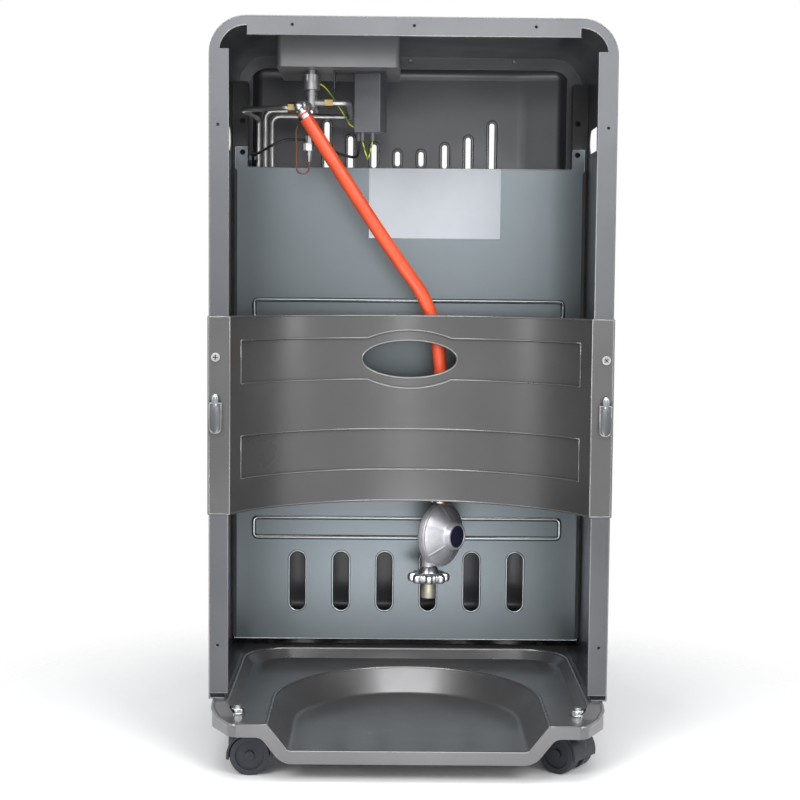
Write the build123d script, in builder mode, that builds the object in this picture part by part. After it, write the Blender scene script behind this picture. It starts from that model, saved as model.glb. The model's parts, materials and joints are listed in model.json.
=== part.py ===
"""Portable gas cabinet heater on castors, with its bottle bay open.

Millimetres. Z is up and the floor is z = 0. The bottle side, which is the heater's rear, faces -Y,
and the burners and their guard face +Y. Left and right are as seen from the bottle side, so left is -X.
"""

import os
from math import atan2, cos, degrees, radians, sin, tan

from build123d import *

os.makedirs("parts", exist_ok=True)

# ---------------------------------------------------------------- driving dimensions

# Cabinet: one painted sheet bent over the top and down both sides.
cabinet_width = 420.0
cabinet_depth = 312.0
cabinet_top = 782.0
corner_radius = 38.0
sheet = 1.0
rear_flange = 20.0
top_flange = 19.5
corner_strip = 10.0
flange_lip = 8.0
corner_notch = 34.0
front_flange = 15.0
foot_flange = 16.0
flange_foot_gap = 4.7

# Holes in the cabinet.
cover_hole_radius = 1.6
cover_hole_inset = 9.0
cover_hole_high = 671.0
cover_hole_low = 128.0
cover_hole_pitch = 125.0
hand_hole_length = 78.0
hand_hole_height = 27.0
hand_hole_depth = 188.0
hand_hole_centre = 673.5

# Pressed front panel with vent slots and the radiant opening.
panel_bulge = 24.0
panel_rim = 18.3
panel_dish_radius = 28.0
panel_foot = 24.0
panel_head = 4.0
panel_shoulder = 14.9
panel_shoulder_run = 6.0
panel_slope_run = 54.0
panel_edge_radius = 9.0
panel_slope_radius = 60.0
vent_pitch = 29.0
vent_width = 8.0
vent_tops = [670.5, 679.0, 688.5, 706.0]
vent_bottoms = [651.0, 648.5, 645.0, 640.0]
mouth_margin = 45.0
mouth_bottom = 352.0
mouth_top = 618.0
mouth_radius = 18.0

# Guard over the radiant opening: a frame with wires welded across it.
guard_rod = 4.0
guard_wire = 2.6
guard_margin = 7.0
guard_bar_gap = 3.0
guard_bars = 11

# Tray: one pressing that carries the cabinet and the gas bottle.
tray_side_gap = 5.0
tray_sheet = 1.2
tray_overhang = 62.0
tray_front_gap = 1.0
platform_top = 60.0
ridge_top = 71.0
ridge_width = 16.0
ridge_slope = 9.0
ridge_start = 9.0
ridge_ramp = 26.0
floor_margin = 71.0
floor_corner = 54.0
front_ridge_margins = (50.0, 10.0)
front_floor_corner = 12.0
tray_lip = 13.0
tray_corner_x = 23.0
tray_corner_y = 42.0
tray_corner_radius = 14.0
tray_ramp_radius = 12.0
tray_lip_run = 25.0
tray_lip_radii = (12.0, 22.0)
well_margin = 60.5
well_run = 21.5
well_depth = 27.4
well_front_gap = 48.0
well_fillet = 7.0

# Castors with twin wheels. Each trails from its stem at its own angle, in degrees from +X.
wheel_diameter = 41.0
wheel_width = 15.0
wheel_gap = 10.0
wheel_dish = (15.0, 3.0)
rear_caster_inset = 27.0
rear_caster_out = 17.0
front_caster_inset = 40.0
front_caster_back = 29.0
caster_turn = {"rear_left": 0.0, "rear_right": 143.0, "front_left": 205.0, "front_right": 320.0}
caster_trail = 14.0
axle_diameter = 5.0
axle_hold = 0.02
stem_diameter = 8.0
stem_pin_diameter = 7.9
stem_collar_diameter = 16.0
hood_clearance = 1.2
hood_wall = 2.4
hood_side = 1.0
hood_foot = 16.5
web_gap = 1.0
hub_diameter = 19.0
hub_top = 52.5
hub_bore_bottom = 42.0
hub_axial_gap = 0.5
washer_diameter = 16.0
nut_seat_radius = 8.6
washer_thickness = 1.6
stem_nut_flats = 13.0
stem_nut_height = 5.0
stem_end = 69.0
running_gap = 0.05

# Bottle band: a concave pressing screwed over the rear flanges.
band_bottom = 267.0
band_top = 474.0
band_end_width = 22.0
band_sagitta = 115.0
band_press = 2.2
band_sheet = 1.2
band_side_gap = 0.3
band_return = 9.0
zone_margin = 10.0
upper_zone = (403.5, 448.0)
lower_zone = (303.0, 347.0)
eye_half_width = 46.0
eye_top = 457.0
eye_bottom = 393.5
hand_ellipse = (52.0, 20.4)
hand_ellipse_z = 425.3
hand_rim_depth = 6.0
band_screw_inset = 7.0
band_screw_z = 431.7
hook_width = 13.0
hook_bottom = 352.0
hook_top = 391.0
hook_proud = 5.6

# Galvanised heat shield between the bottle bay and the burners.
burner_room = 69.5
shield_side_gap = 3.0
shield_bottom = 81.0
shield_top = 643.4
shield_fold = 5.0
bead_margin = 23.0
bead_depth = 2.2
upper_bead = (466.0, 488.0)
lower_bead = (204.0, 228.0)
slot_pitch = 52.2
slot_width = 19.0
slot_bottom = 115.2
slot_top = 187.7
ear_width = 15.0
ear_top = 667.0
ear_hole_inset = 9.0
ear_hole_z = 660.5
rail_hole_z = 697.0
rail_hole_radius = 3.2
fold_gap = 3.0
slot_count = 6
bead_corner = 5.0
label_drop = 0.5
label_size = (155.0, 81.5)
label_centre_x = 29.5
label_thickness = 0.3

# Channel rails on the cabinet sides, which carry the shield and the burner bracket.
rail_bottom = 85.0
rail_top = 743.0
rail_depth = 18.5
rail_flange = 18.0

# Burners.
plaque_gap = 11.0
plaque_height = 133.0
plaque_thickness = 13.0
plaque_seat = 4.0
plaque_chamfer = 1.5
housing_wall = 1.4
housing_corner = 4.0
housing_depth = 25.0
burner_side_room = 12.0
burner_centre_z = 485.0
mixing_tube_diameter = 15.0
mixing_tube_length = 92.0
boss_rise = 62.0
boss_height = 24.0
boss_corner = 3.0
air_port_rise = 15.0
air_port_radius = 3.0
injector_height = 12.0
injector_flats = 15.0
injector_spigot = 4.0
bracket_sheet = 1.2
bracket_bar = 22.0
bracket_lap = 8.0
bracket_drop = 10.0
bracket_side_gap = 1.0
bracket_arm_width = 16.0
bracket_shelf = (48.0, 4.0)
reflector_sheet = 0.8
reflector_margin = 5.2
reflector_lap = 2.0
fit_gap = 0.2
joint_gap = 0.02
cut_margin = 1.0

# Control well pressed into the cabinet top.
well_left = -147.0
well_right = -13.0
well_near = 80.0
well_far = 215.0
well_floor = 740.5
well_wall = 1.2
well_corner = 6.0
bezel_width = 6.0
bezel_thickness = 1.2
bezel_round = 0.7

# Gas valve, its spindle and the knob.
valve_x = -110.5
valve_depth = 115.0
valve_neck_radius = 6.0
valve_neck_top = 748.0
valve_hex_flats = 17.0
valve_hex_bottom = 729.0
valve_body_top = 735.7
valve_body_bottom = 719.4
valve_body_radius = 9.2
valve_ring_radius = 6.6
valve_ring_z = (713.6, 716.4)
valve_low_radius = 5.5
valve_bottom = 700.5
valve_foot_depth = 117.0
valve_foot_radius = 5.0
valve_branch_radius = 4.0
right_branch = (-95.9, 705.5)
left_branch = (-127.3, 118.0, 700.5)
front_branch = (129.0, 710.0)
valve_nut_flats = 17.0
valve_nut_height = 4.3
spindle_diameter = 6.0
spindle_bottom = 729.0
spindle_top = 766.0
bore_bottom = 724.0
knob_diameter = 46.0
knob_base = 747.0
knob_height = 22.0
knob_skirt = 7.0
knob_grip = 15.0
knob_step = 1.5
knob_taper = 4.0
knob_chamfer = 1.0
knob_bore_radius = 11.0
collar_base = 752.2
collar_thickness = 2.0
collar_radius = 5.0
pointer_size = (1.8, 12.0)
pointer_depth = 0.6

# Gas pipes, given by the burner they feed.
pipe_diameter = 6.0
pipe_bend = 9.0
pipe_fit = 0.05
nut_flats = 11.0
nut_length = 9.0
pipe_clearance = 11.5
pipe_straight = 13.0
column_insets = {"right": 31.0, "middle": 39.0, "left": 47.0}
pipe_levels = {"right": 352.0, "middle": 360.5, "left": 369.0}
pipe_corner_inset = 22.0
pipe_corner_depth = 152.0
pipe_turn_x = -69.5
left_pipe_z = 703.5

# Hose, from the valve down to the regulator.
hose_diameter = 15.0
hose_points = [
    (-118.6, 97.6, 692.6),
    (-67.9, 104.0, 613.6),
    (-12.7, 117.0, 532.8),
    (21.0, 128.0, 488.0),
    (35.5, 134.0, 427.0),
    (36.5, 146.0, 350.0),
    (37.0, 161.0, 298.0),
    (37.0, 163.0, 262.0),
]
bend_share = 0.45
clamp_gap = 0.05
clamp_wall = 1.0
clamp_width = 9.0
clamp_lug = (6.0, 4.5)
nozzle_elbow_radius = 5.6
nozzle_elbow_run = 8.7
nozzle_collar_radius = 7.4
nozzle_collar = 2.0
nozzle_radius = 4.0
nozzle_nut_flats = 11.0
nozzle_nut_span = (11.5, 17.0)

# Pressure regulator. Its profiles give the distance along its axis, then the radius.
regulator_x = 38.5
regulator_depth = 160.0
regulator_z = 222.0
regulator_turn = 50.0
regulator_radius = 36.5
regulator_rim = 3.8
back_profile = [(-6.0, 34.0), (-13.0, 27.0), (-19.0, 19.0), (-21.0, 14.0)]
cover_facets = 6
cover_top_radius = 18.0
boss_radius = 15.5
boss_reach = (17.5, 24.0)
cap_radius = 12.5
cap_thickness = 1.2
cap_pocket = 1.8
outlet_radius = 5.0
outlet_run = 14.0
stem_offset = 17.5
stem_radius = 8.0
stem_top = 208.0
spigot_radius = 5.0
spigot_bottom = 151.0
handwheel_bottom = 165.0
handwheel_rim = 11.0
handwheel_top = 183.0
handwheel_gap = 0.3
handwheel_ring_radius = 19.5
handwheel_lobe_radius = 5.0
handwheel_lobes = 6
handwheel_hub_radii = (13.0, 9.0)
thread_radius = 8.9
thread_bottom = 147.0

# Flame sensor joint and its lead.
joint_x = -114.4
joint_depth = 150.0
joint_levels = (643.7, 656.0, 664.0, 672.5)
joint_radii = (2.0, 3.0, 4.0)
lead_diameter = 1.9
lead_points = [
    (-114.4, 150.0, 643.7),
    (-114.4, 150.0, 630.5),
    (-128.0, 150.0, 630.5),
    (-128.5, 150.0, 652.0),
    (-129.5, 149.0, 688.0),
    (-110.5, 126.0, 690.0),
    (-110.5, 126.0, 705.95),
]

# Ignition module and its leads.
module_size = (31.0, 22.0, 64.0)
module_face = (-49.6, 122.0)
module_turn = -20.0
module_edge = 1.5
module_plate = (-86.0, -29.0, 112.0, 140.0)
module_plate_sheet = 1.5
module_tab = 18.0
terminal_radius = 2.2
terminal_length = 9.0
terminal_places = ((-6.0, 3.0), (6.0, 3.0), (-11.5, 6.0))
module_wire_diameter = 1.5
module_wire_drop = 16.0
valve_wire_points = [
    (-101.25, 115.0, 726.0),
    (-93.75, 115.0, 726.0),
    (-88.0, 121.5, 715.0),
    (-75.0, 127.0, 694.0),
]
valve_wire_end = (6.0, 6.0)
valve_wire_run = 9.0
spark_lead_diameter = 3.0
spark_points = [
    (-59.5, 139.0, 649.5),
    (-66.0, 150.0, 649.0),
    (-81.0, 153.0, 653.0),
    (-100.0, 157.0, 662.5),
    (-119.0, 159.0, 669.0),
    (-143.6, 151.0, 668.4),
]
# Its way down beside the pipes: distance from the cabinet's side, then from the pipes' plane.
spark_side_points = [
    (47.0, -101.0, 658.0),
    (34.0, -69.0, 654.0),
    (26.0, -29.0, 658.0),
    (24.5, 0.0, 654.0),
    (24.5, 1.0, 606.0),
    (24.5, 0.0, 548.0),
    (24.5, 0.5, 498.0),
    (32.0, 14.0, 468.0),
]
spark_first_run = 9.5
spark_last_run = 14.0
spark_end_step = 20.0
spark_end_z = 462.0

# Screws.
panel_screw_heights = (706.0, 420.0, 140.0)
panel_screw_inset = 5.5
screw_slot = (0.9, 5.0, 1.1)
screw_shank_radius = 1.5
screw_shank_length = 9.0
screw_head_radius = 4.6
screw_head_height = 2.4

# ---------------------------------------------------------------- places worked out from the sizes

half_width = cabinet_width / 2
shield_depth = cabinet_depth - burner_room
pipe_line_depth = shield_depth + pipe_clearance
panel_face_depth = cabinet_depth + sheet + panel_bulge
front_reach = panel_face_depth + guard_rod + guard_wire
rear = (tray_overhang - front_reach) / 2
cabinet_foot = ridge_top
platform_under = platform_top - tray_sheet


def at_depth(depth):
    """Upright plane that faces the bottle side, so much in front of the cabinet's rear face."""
    return Plane.XZ.offset(-(rear + depth))


def y_at(depth):
    """Y of a place that lies so far in front of the cabinet's rear face."""
    return rear + depth


def place(x, depth, z):
    """Point given by its distance in front of the cabinet's rear face."""
    return (x, rear + depth, z)


def tube_plane(start, direction):
    """Plane square to a tube that leaves the start point in the given direction."""
    return Plane(origin=start, z_dir=direction)


def rod(start, end, radius, start_radius=None):
    """Round bar between two points, tapered if it has another radius at its start."""
    run = Vector(*end) - Vector(*start)
    with BuildPart() as bar:
        with BuildSketch(tube_plane(start, run)):
            Circle(start_radius or radius)
        if start_radius:
            with BuildSketch(tube_plane(end, run)):
                Circle(radius)
            loft(ruled=True)
        else:
            extrude(amount=run.length)
    return bar.part


def bent_rod(route, bend, radius):
    """Round bar along a route of straight runs, with its corners rounded."""
    with BuildLine() as line:
        FilletPolyline(*route, radius=bend)
    path = line.wire()
    with BuildPart() as bar:
        with BuildSketch(tube_plane(path @ 0, path % 0)):
            Circle(radius)
        sweep(path=path)
    return bar.part


def hexagon(start, end, flats):
    """Six-sided block between two points, measured across its flats."""
    run = Vector(*end) - Vector(*start)
    with BuildPart() as block:
        with BuildSketch(tube_plane(start, run)):
            RegularPolygon(flats / 2, 6, major_radius=False)
        extrude(amount=run.length)
    return block.part


def easy_radii(route):
    """Largest even bends along a route: each takes the same share of its shorter run."""
    points = [Vector(*point) for point in route]
    radii = []
    for before, corner, after in zip(points, points[1:], points[2:]):
        turn = (corner - before).get_angle(after - corner)
        shorter = min((corner - before).length, (after - corner).length)
        radii.append(bend_share * shorter / tan(radians(turn) / 2))
    return radii


def along(start, end, distance):
    """Point at a distance from the start point, on the way to the end point."""
    run = (Vector(*end) - Vector(*start)).normalized()
    return tuple(Vector(*start) + run * distance)


# The front panel's screws: three along the top and three down each side.
panel_screws = [
    (x, cabinet_top - panel_screw_inset) for x in (-cover_hole_pitch, 0, cover_hole_pitch)
] + [
    (side * (half_width - front_flange / 2), height)
    for side in (-1, 1)
    for height in panel_screw_heights
]
hook_x = half_width - band_screw_inset
band_screws = [(-hook_x, band_screw_z), (hook_x, band_screw_z)]


# ---------------------------------------------------------------- cabinet

corner_centre_x = half_width - corner_radius
corner_centre_z = cabinet_top - corner_radius
opening_half_width = half_width - rear_flange
opening_top = cabinet_top - top_flange

# Quarter openings that leave only a narrow strip round each top corner of the rear.
corner_openings = Sketch() + [
    Pos(side * corner_centre_x, corner_centre_z) * Circle(corner_radius - corner_strip)
    & Pos(side * half_width, cabinet_top) * Rectangle(2 * (corner_radius + cut_margin), 2 * corner_notch)
    for side in (-1, 1)
]

with BuildPart() as cabinet_shell:
    with BuildSketch(at_depth(0)) as wrap:
        with Locations((0, (cabinet_top + cabinet_foot) / 2)):
            Rectangle(cabinet_width, cabinet_top - cabinet_foot)
        fillet(wrap.vertices().group_by(Axis.Y)[-1], corner_radius)
    extrude(amount=-cabinet_depth)
    # The inside, which leaves the two outer walls, the top and the flanges.
    with BuildSketch(at_depth(sheet)) as inside:
        with Locations((0, (cabinet_top - sheet + cabinet_foot + sheet) / 2)):
            Rectangle(cabinet_width - 2 * sheet, cabinet_top - cabinet_foot - 2 * sheet)
        fillet(inside.vertices().group_by(Axis.Y)[-1], corner_radius - sheet)
    extrude(amount=-(cabinet_depth - 2 * sheet), mode=Mode.SUBTRACT)
    # Open foot between the two inward foot flanges.
    with BuildSketch(Plane.XY.offset(cabinet_foot)):
        with Locations((0, y_at(cabinet_depth / 2))):
            Rectangle(cabinet_width - 2 * foot_flange, cabinet_depth)
    extrude(amount=sheet, mode=Mode.SUBTRACT)
    # Rear opening.
    with BuildSketch(at_depth(0)):
        with Locations((0, (opening_top + cabinet_foot) / 2)):
            Rectangle(2 * opening_half_width, opening_top - cabinet_foot)
        with Locations((0, cabinet_foot + sheet + flange_foot_gap / 2)):
            Rectangle(cabinet_width - 2 * sheet, flange_foot_gap)
        add(corner_openings)
    extrude(amount=-sheet, mode=Mode.SUBTRACT)
    # Front opening.
    with BuildSketch(at_depth(cabinet_depth - sheet)) as front_opening:
        with Locations((0, (cabinet_top - front_flange + cabinet_foot) / 2)):
            Rectangle(cabinet_width - 2 * front_flange, cabinet_top - front_flange - cabinet_foot)
        fillet(front_opening.vertices().group_by(Axis.Y)[-1], corner_radius - front_flange)
    extrude(amount=-sheet, mode=Mode.SUBTRACT)
    # Lips bent inwards along the rear flanges.
    with BuildSketch(at_depth(sheet)):
        lip_foot = cabinet_foot + sheet + flange_foot_gap
        lip_head = cabinet_top - corner_notch
        for side in (-1, 1):
            with Locations((side * (opening_half_width + sheet / 2), (lip_foot + lip_head) / 2)):
                Rectangle(sheet, lip_head - lip_foot)
        with Locations((0, opening_top + sheet / 2)):
            Rectangle(2 * corner_centre_x, sheet)
    extrude(amount=-flange_lip)
    # Screw holes for the rear cover and for the bottle band.
    with BuildSketch(at_depth(0)):
        with Locations(*band_screws):
            Circle(screw_shank_radius + fit_gap)
        for side in (-1, 1):
            with Locations(
                (side * (half_width - cover_hole_inset), cover_hole_high),
                (side * (half_width - cover_hole_inset), cover_hole_low),
            ):
                Circle(cover_hole_radius)
        with GridLocations(cover_hole_pitch, 1, 3, 1):
            with Locations((0, cabinet_top - cover_hole_inset)):
                Circle(cover_hole_radius)
    extrude(amount=-sheet, mode=Mode.SUBTRACT)
    # Oval hand holes through both sides.
    with BuildSketch(Plane.YZ.offset(-half_width)):
        with Locations((y_at(hand_hole_depth), hand_hole_centre)):
            SlotOverall(hand_hole_length, hand_hole_height)
    extrude(amount=cabinet_width, mode=Mode.SUBTRACT)
    # Mouth of the control well.
    with BuildSketch(Plane.XY.offset(cabinet_top - sheet)):
        with Locations(((well_left + well_right) / 2, y_at((well_near + well_far) / 2))):
            RectangleRounded(well_right - well_left, well_far - well_near, well_corner)
    extrude(amount=sheet, mode=Mode.SUBTRACT)
    # Holes for the front panel's screws.
    with BuildSketch(at_depth(cabinet_depth - sheet)):
        with Locations(*panel_screws):
            Circle(screw_shank_radius + fit_gap)
    extrude(amount=-sheet, mode=Mode.SUBTRACT)
cabinet_shell.part.label = "cabinet_shell"
export_step(cabinet_shell.part, "parts/cabinet_shell.step")

# ---------------------------------------------------------------- control well in the top

well_centre = ((well_left + well_right) / 2, y_at((well_near + well_far) / 2))
well_width = well_right - well_left - 2 * fit_gap
well_length = well_far - well_near - 2 * fit_gap

with BuildPart() as control_well:
    with BuildSketch(Plane.XY.offset(well_floor)):
        with Locations(well_centre):
            RectangleRounded(well_width, well_length, well_corner)
    extrude(amount=cabinet_top - well_floor)
    with BuildSketch(Plane.XY.offset(cabinet_top)):
        with Locations(well_centre):
            RectangleRounded(
                well_width + 2 * bezel_width,
                well_length + 2 * bezel_width,
                well_corner + bezel_width,
            )
    extrude(amount=bezel_thickness)
    fillet(control_well.faces().sort_by(Axis.Z)[-1].outer_wire().edges(), bezel_round)
    with BuildSketch(Plane.XY.offset(well_floor + well_wall)):
        with Locations(well_centre):
            RectangleRounded(
                well_width - 2 * well_wall, well_length - 2 * well_wall, well_corner - well_wall
            )
    extrude(amount=cabinet_top + bezel_thickness - well_floor - well_wall, mode=Mode.SUBTRACT)
    with BuildSketch(Plane.XY.offset(well_floor)):
        with Locations((valve_x, y_at(valve_depth))):
            Circle(valve_neck_radius + fit_gap)
    extrude(amount=well_wall, mode=Mode.SUBTRACT)
control_well.part.label = "control_well"
export_step(control_well.part, "parts/control_well.step")

# ---------------------------------------------------------------- front panel

panel_half = half_width - panel_rim
panel_top = cabinet_top - front_flange + panel_head
panel_bottom = cabinet_foot + panel_foot
mouth_width = cabinet_width - 2 * mouth_margin
mouth_centre_z = (mouth_bottom + mouth_top) / 2
mouth_height = mouth_top - mouth_bottom
flat_half = panel_half - panel_slope_run


def dish(inset, foot):
    """Plan of the panel's raised face: steep shoulders, then a gentle slope to a flat middle."""
    base = cabinet_depth + foot
    with BuildSketch(Plane.XY.offset(panel_bottom + inset)) as plan:
        with BuildLine():
            FilletPolyline(
                (-panel_half + inset, y_at(base)),
                (-panel_half + inset + panel_shoulder_run, y_at(cabinet_depth + panel_shoulder)),
                (-flat_half, y_at(panel_face_depth - inset)),
                (flat_half, y_at(panel_face_depth - inset)),
                (panel_half - inset - panel_shoulder_run, y_at(cabinet_depth + panel_shoulder)),
                (panel_half - inset, y_at(base)),
                radius=[
                    panel_edge_radius - inset,
                    panel_slope_radius,
                    panel_slope_radius,
                    panel_edge_radius - inset,
                ],
            )
            Line((panel_half - inset, y_at(base)), (-panel_half + inset, y_at(base)))
        make_face()
    return plan.sketch


dish_outer = dish(0.0, sheet)
dish_inner = dish(sheet, 0.0)

with BuildPart() as mouth_tube:
    with BuildSketch(at_depth(cabinet_depth)):
        with Locations((0, mouth_centre_z)):
            RectangleRounded(mouth_width + 2 * sheet, mouth_height + 2 * sheet, mouth_radius + sheet)
    extrude(amount=-(sheet + panel_bulge))

# Hollow behind the raised face, which leaves the rim turned in round the radiant opening.
with BuildPart() as panel_hollow:
    add(dish_inner)
    extrude(amount=panel_top - panel_bottom - 2 * sheet)
    fillet(
        panel_hollow.faces().filter_by(Axis.Z).edges().group_by(Axis.Y)[-1],
        panel_dish_radius / 2 - sheet,
    )
    add(mouth_tube.part, mode=Mode.SUBTRACT)

with BuildPart() as front_panel:
    add(dish_outer)
    extrude(amount=panel_top - panel_bottom)
    fillet(
        front_panel.faces().filter_by(Axis.Z).edges().group_by(Axis.Y)[-1],
        panel_dish_radius / 2,
    )
    with BuildSketch(at_depth(cabinet_depth)) as rim:
        with Locations((0, (cabinet_top + cabinet_foot) / 2)):
            Rectangle(cabinet_width, cabinet_top - cabinet_foot)
        fillet(rim.vertices().group_by(Axis.Y)[-1], corner_radius)
        fillet(rim.vertices().group_by(Axis.Y)[0], well_corner)
    extrude(amount=-sheet)
    add(panel_hollow.part, mode=Mode.SUBTRACT)
    with BuildSketch(at_depth(cabinet_depth)):
        with Locations((0, mouth_centre_z)):
            RectangleRounded(mouth_width, mouth_height, mouth_radius)
        for number in range(4):
            slot_height = vent_tops[number] - vent_bottoms[number]
            for side in (-1, 1):
                with Locations(
                    (
                        side * vent_pitch * (number + 0.5),
                        (vent_tops[number] + vent_bottoms[number]) / 2,
                    )
                ):
                    SlotOverall(slot_height, vent_width, rotation=90)
        with Locations(*panel_screws):
            Circle(screw_shank_radius + fit_gap)
    extrude(amount=-(sheet + panel_bulge), mode=Mode.SUBTRACT)
front_panel.part.label = "front_panel"
export_step(front_panel.part, "parts/front_panel.step")

# ---------------------------------------------------------------- guard

guard_half = mouth_width / 2 + guard_margin
guard_low = mouth_bottom - guard_margin
guard_high = mouth_top + guard_margin
guard_depth = panel_face_depth + guard_rod / 2
guard_corner = mouth_radius + guard_margin
guard_wire_depth = panel_face_depth + guard_rod + guard_wire / 2
guard_bar_span = mouth_width - 2 * (mouth_radius + guard_bar_gap)
guard_bar_pitch = guard_bar_span / (guard_bars - 1)

with BuildPart() as front_guard:
    with BuildLine(at_depth(guard_depth)) as guard_frame:
        FilletPolyline(
            (-guard_half, guard_low),
            (guard_half, guard_low),
            (guard_half, guard_high),
            (-guard_half, guard_high),
            radius=guard_corner,
            close=True,
        )
    frame_wire = guard_frame.wire()
    with BuildSketch(tube_plane(frame_wire @ 0, frame_wire % 0)):
        Circle(guard_rod / 2)
    sweep(path=frame_wire)
front_guard.part.label = "front_guard"
export_step(front_guard.part, "parts/front_guard.step")

with BuildPart() as guard_wires:
    # Upright wires, which lie on the frame.
    with BuildSketch(Plane.XY.offset(guard_low)):
        with GridLocations(guard_bar_pitch, 1, guard_bars, 1):
            with Locations((0, y_at(guard_wire_depth))):
                Circle(guard_wire / 2)
    extrude(amount=guard_high - guard_low)
    # Two cross wires behind the uprights, from one side of the frame to the other.
    with BuildSketch(Plane.YZ.offset(-guard_half + guard_rod / 2)):
        for share in (1 / 3, 2 / 3):
            with Locations(
                (y_at(guard_wire_depth - guard_wire), guard_low + share * (guard_high - guard_low))
            ):
                Circle(guard_wire / 2)
    extrude(amount=2 * guard_half - guard_rod)
guard_wires.part.label = "guard_wires"
export_step(guard_wires.part, "parts/guard_wires.step")

# ---------------------------------------------------------------- rails, shield and label

shield_width = cabinet_width - 2 * (sheet + shield_side_gap)
bead_half_width = shield_width / 2 - bead_margin
ear_hole_x = shield_width / 2 - ear_hole_inset
rail_outer = half_width - sheet
rail_inner = rail_outer - rail_flange
shield_back = shield_depth + sheet
rail_front = shield_back + rail_depth

with BuildPart() as side_rails:
    for side in (-1, 1):
        with BuildSketch(Plane.XY.offset(rail_bottom)):
            with Locations((side * (rail_outer + rail_inner) / 2, y_at((shield_back + rail_front) / 2))):
                Rectangle(rail_flange, rail_depth)
            with Locations(
                (side * (rail_outer + rail_inner - 2 * sheet) / 2, y_at((shield_back + rail_front) / 2))
            ):
                Rectangle(rail_flange, rail_depth - 2 * sheet, mode=Mode.SUBTRACT)
        extrude(amount=rail_top - rail_bottom)
    # Screw holes: one behind each ear of the shield and one higher up.
    with BuildSketch(at_depth(shield_back)):
        with Locations(
            (-ear_hole_x, ear_hole_z),
            (ear_hole_x, ear_hole_z),
            (-ear_hole_x, rail_hole_z),
            (ear_hole_x, rail_hole_z),
        ):
            Circle(rail_hole_radius)
    extrude(amount=-sheet, mode=Mode.SUBTRACT)
side_rails.part.label = "side_rails"
export_step(side_rails.part, "parts/side_rails.step")

with BuildPart() as heat_shield:
    with BuildSketch(at_depth(shield_depth)):
        with Locations((0, (shield_bottom + shield_top) / 2)):
            Rectangle(shield_width, shield_top - shield_bottom)
        for side in (-1, 1):
            with Locations((side * (shield_width - ear_width) / 2, (shield_bottom + ear_top) / 2)):
                Rectangle(ear_width, ear_top - shield_bottom)
    extrude(amount=-sheet)
    # Fold along the top edge.
    with BuildSketch(at_depth(shield_back)):
        with Locations((0, shield_top - sheet / 2)):
            Rectangle(shield_width - 2 * (ear_width + fold_gap), sheet)
    extrude(amount=-shield_fold)
    # Two wide beads pressed away from the bottle.
    with BuildSketch(at_depth(shield_back)):
        for low, high in (upper_bead, lower_bead):
            with Locations((0, (low + high) / 2)):
                RectangleRounded(
                    2 * (bead_half_width + sheet), high - low + 2 * sheet, bead_corner + sheet
                )
    extrude(amount=-bead_depth)
    with BuildSketch(at_depth(shield_depth)):
        for low, high in (upper_bead, lower_bead):
            with Locations((0, (low + high) / 2)):
                RectangleRounded(2 * bead_half_width, high - low, bead_corner)
    extrude(amount=-bead_depth, mode=Mode.SUBTRACT)
    # Air slots and the screw holes of the ears.
    with BuildSketch(at_depth(shield_depth)):
        with GridLocations(slot_pitch, 1, slot_count, 1):
            with Locations((0, (slot_bottom + slot_top) / 2)):
                SlotOverall(slot_top - slot_bottom, slot_width, rotation=90)
        with Locations((-ear_hole_x, ear_hole_z), (ear_hole_x, ear_hole_z)):
            Circle(rail_hole_radius)
    extrude(amount=-sheet, mode=Mode.SUBTRACT)
heat_shield.part.label = "heat_shield"
export_step(heat_shield.part, "parts/heat_shield.step")

with BuildPart() as shield_label:
    with BuildSketch(at_depth(shield_depth - label_thickness)):
        with Locations((label_centre_x, shield_top - label_drop - label_size[1] / 2)):
            Rectangle(label_size[0], label_size[1])
    extrude(amount=-label_thickness)
shield_label.part.label = "shield_label"
export_step(shield_label.part, "parts/shield_label.step")

# ---------------------------------------------------------------- tray

tray_half = half_width - tray_side_gap
tray_front = cabinet_depth - tray_front_gap
ridge_inner = tray_half - ridge_width
floor_depth = cabinet_depth - floor_margin
front_ridge_start = cabinet_depth - front_ridge_margins[0]
front_ridge_end = cabinet_depth - front_ridge_margins[1]
well_half_width = tray_half - well_margin
well_reach = floor_depth - well_front_gap
rear_caster_x = tray_half - rear_caster_inset
front_caster_x = tray_half - front_caster_inset
well_slope = degrees(atan2(well_depth, well_run))
ridge_angle = degrees(atan2(ridge_top - platform_top, ridge_slope))
well_allowance = tray_sheet * tan(radians(well_slope) / 2)
ridge_allowance = tray_sheet * tan(radians(ridge_angle) / 2)
well_bottom = platform_top - well_depth


def tray_outline(inset):
    """Plan outline of the tray, with its two rear corners cut off and rounded."""
    side = tray_half - inset
    back = y_at(-tray_overhang + inset)
    front = y_at(tray_front - inset)
    with BuildSketch() as outline:
        with BuildLine():
            FilletPolyline(
                (-side, front),
                (-side, back + tray_corner_y),
                (-side + tray_corner_x, back),
                (side - tray_corner_x, back),
                (side, back + tray_corner_y),
                (side, front),
                radius=tray_corner_radius,
            )
            Line((side, front), (-side, front))
        make_face()
    return outline.sketch


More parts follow.
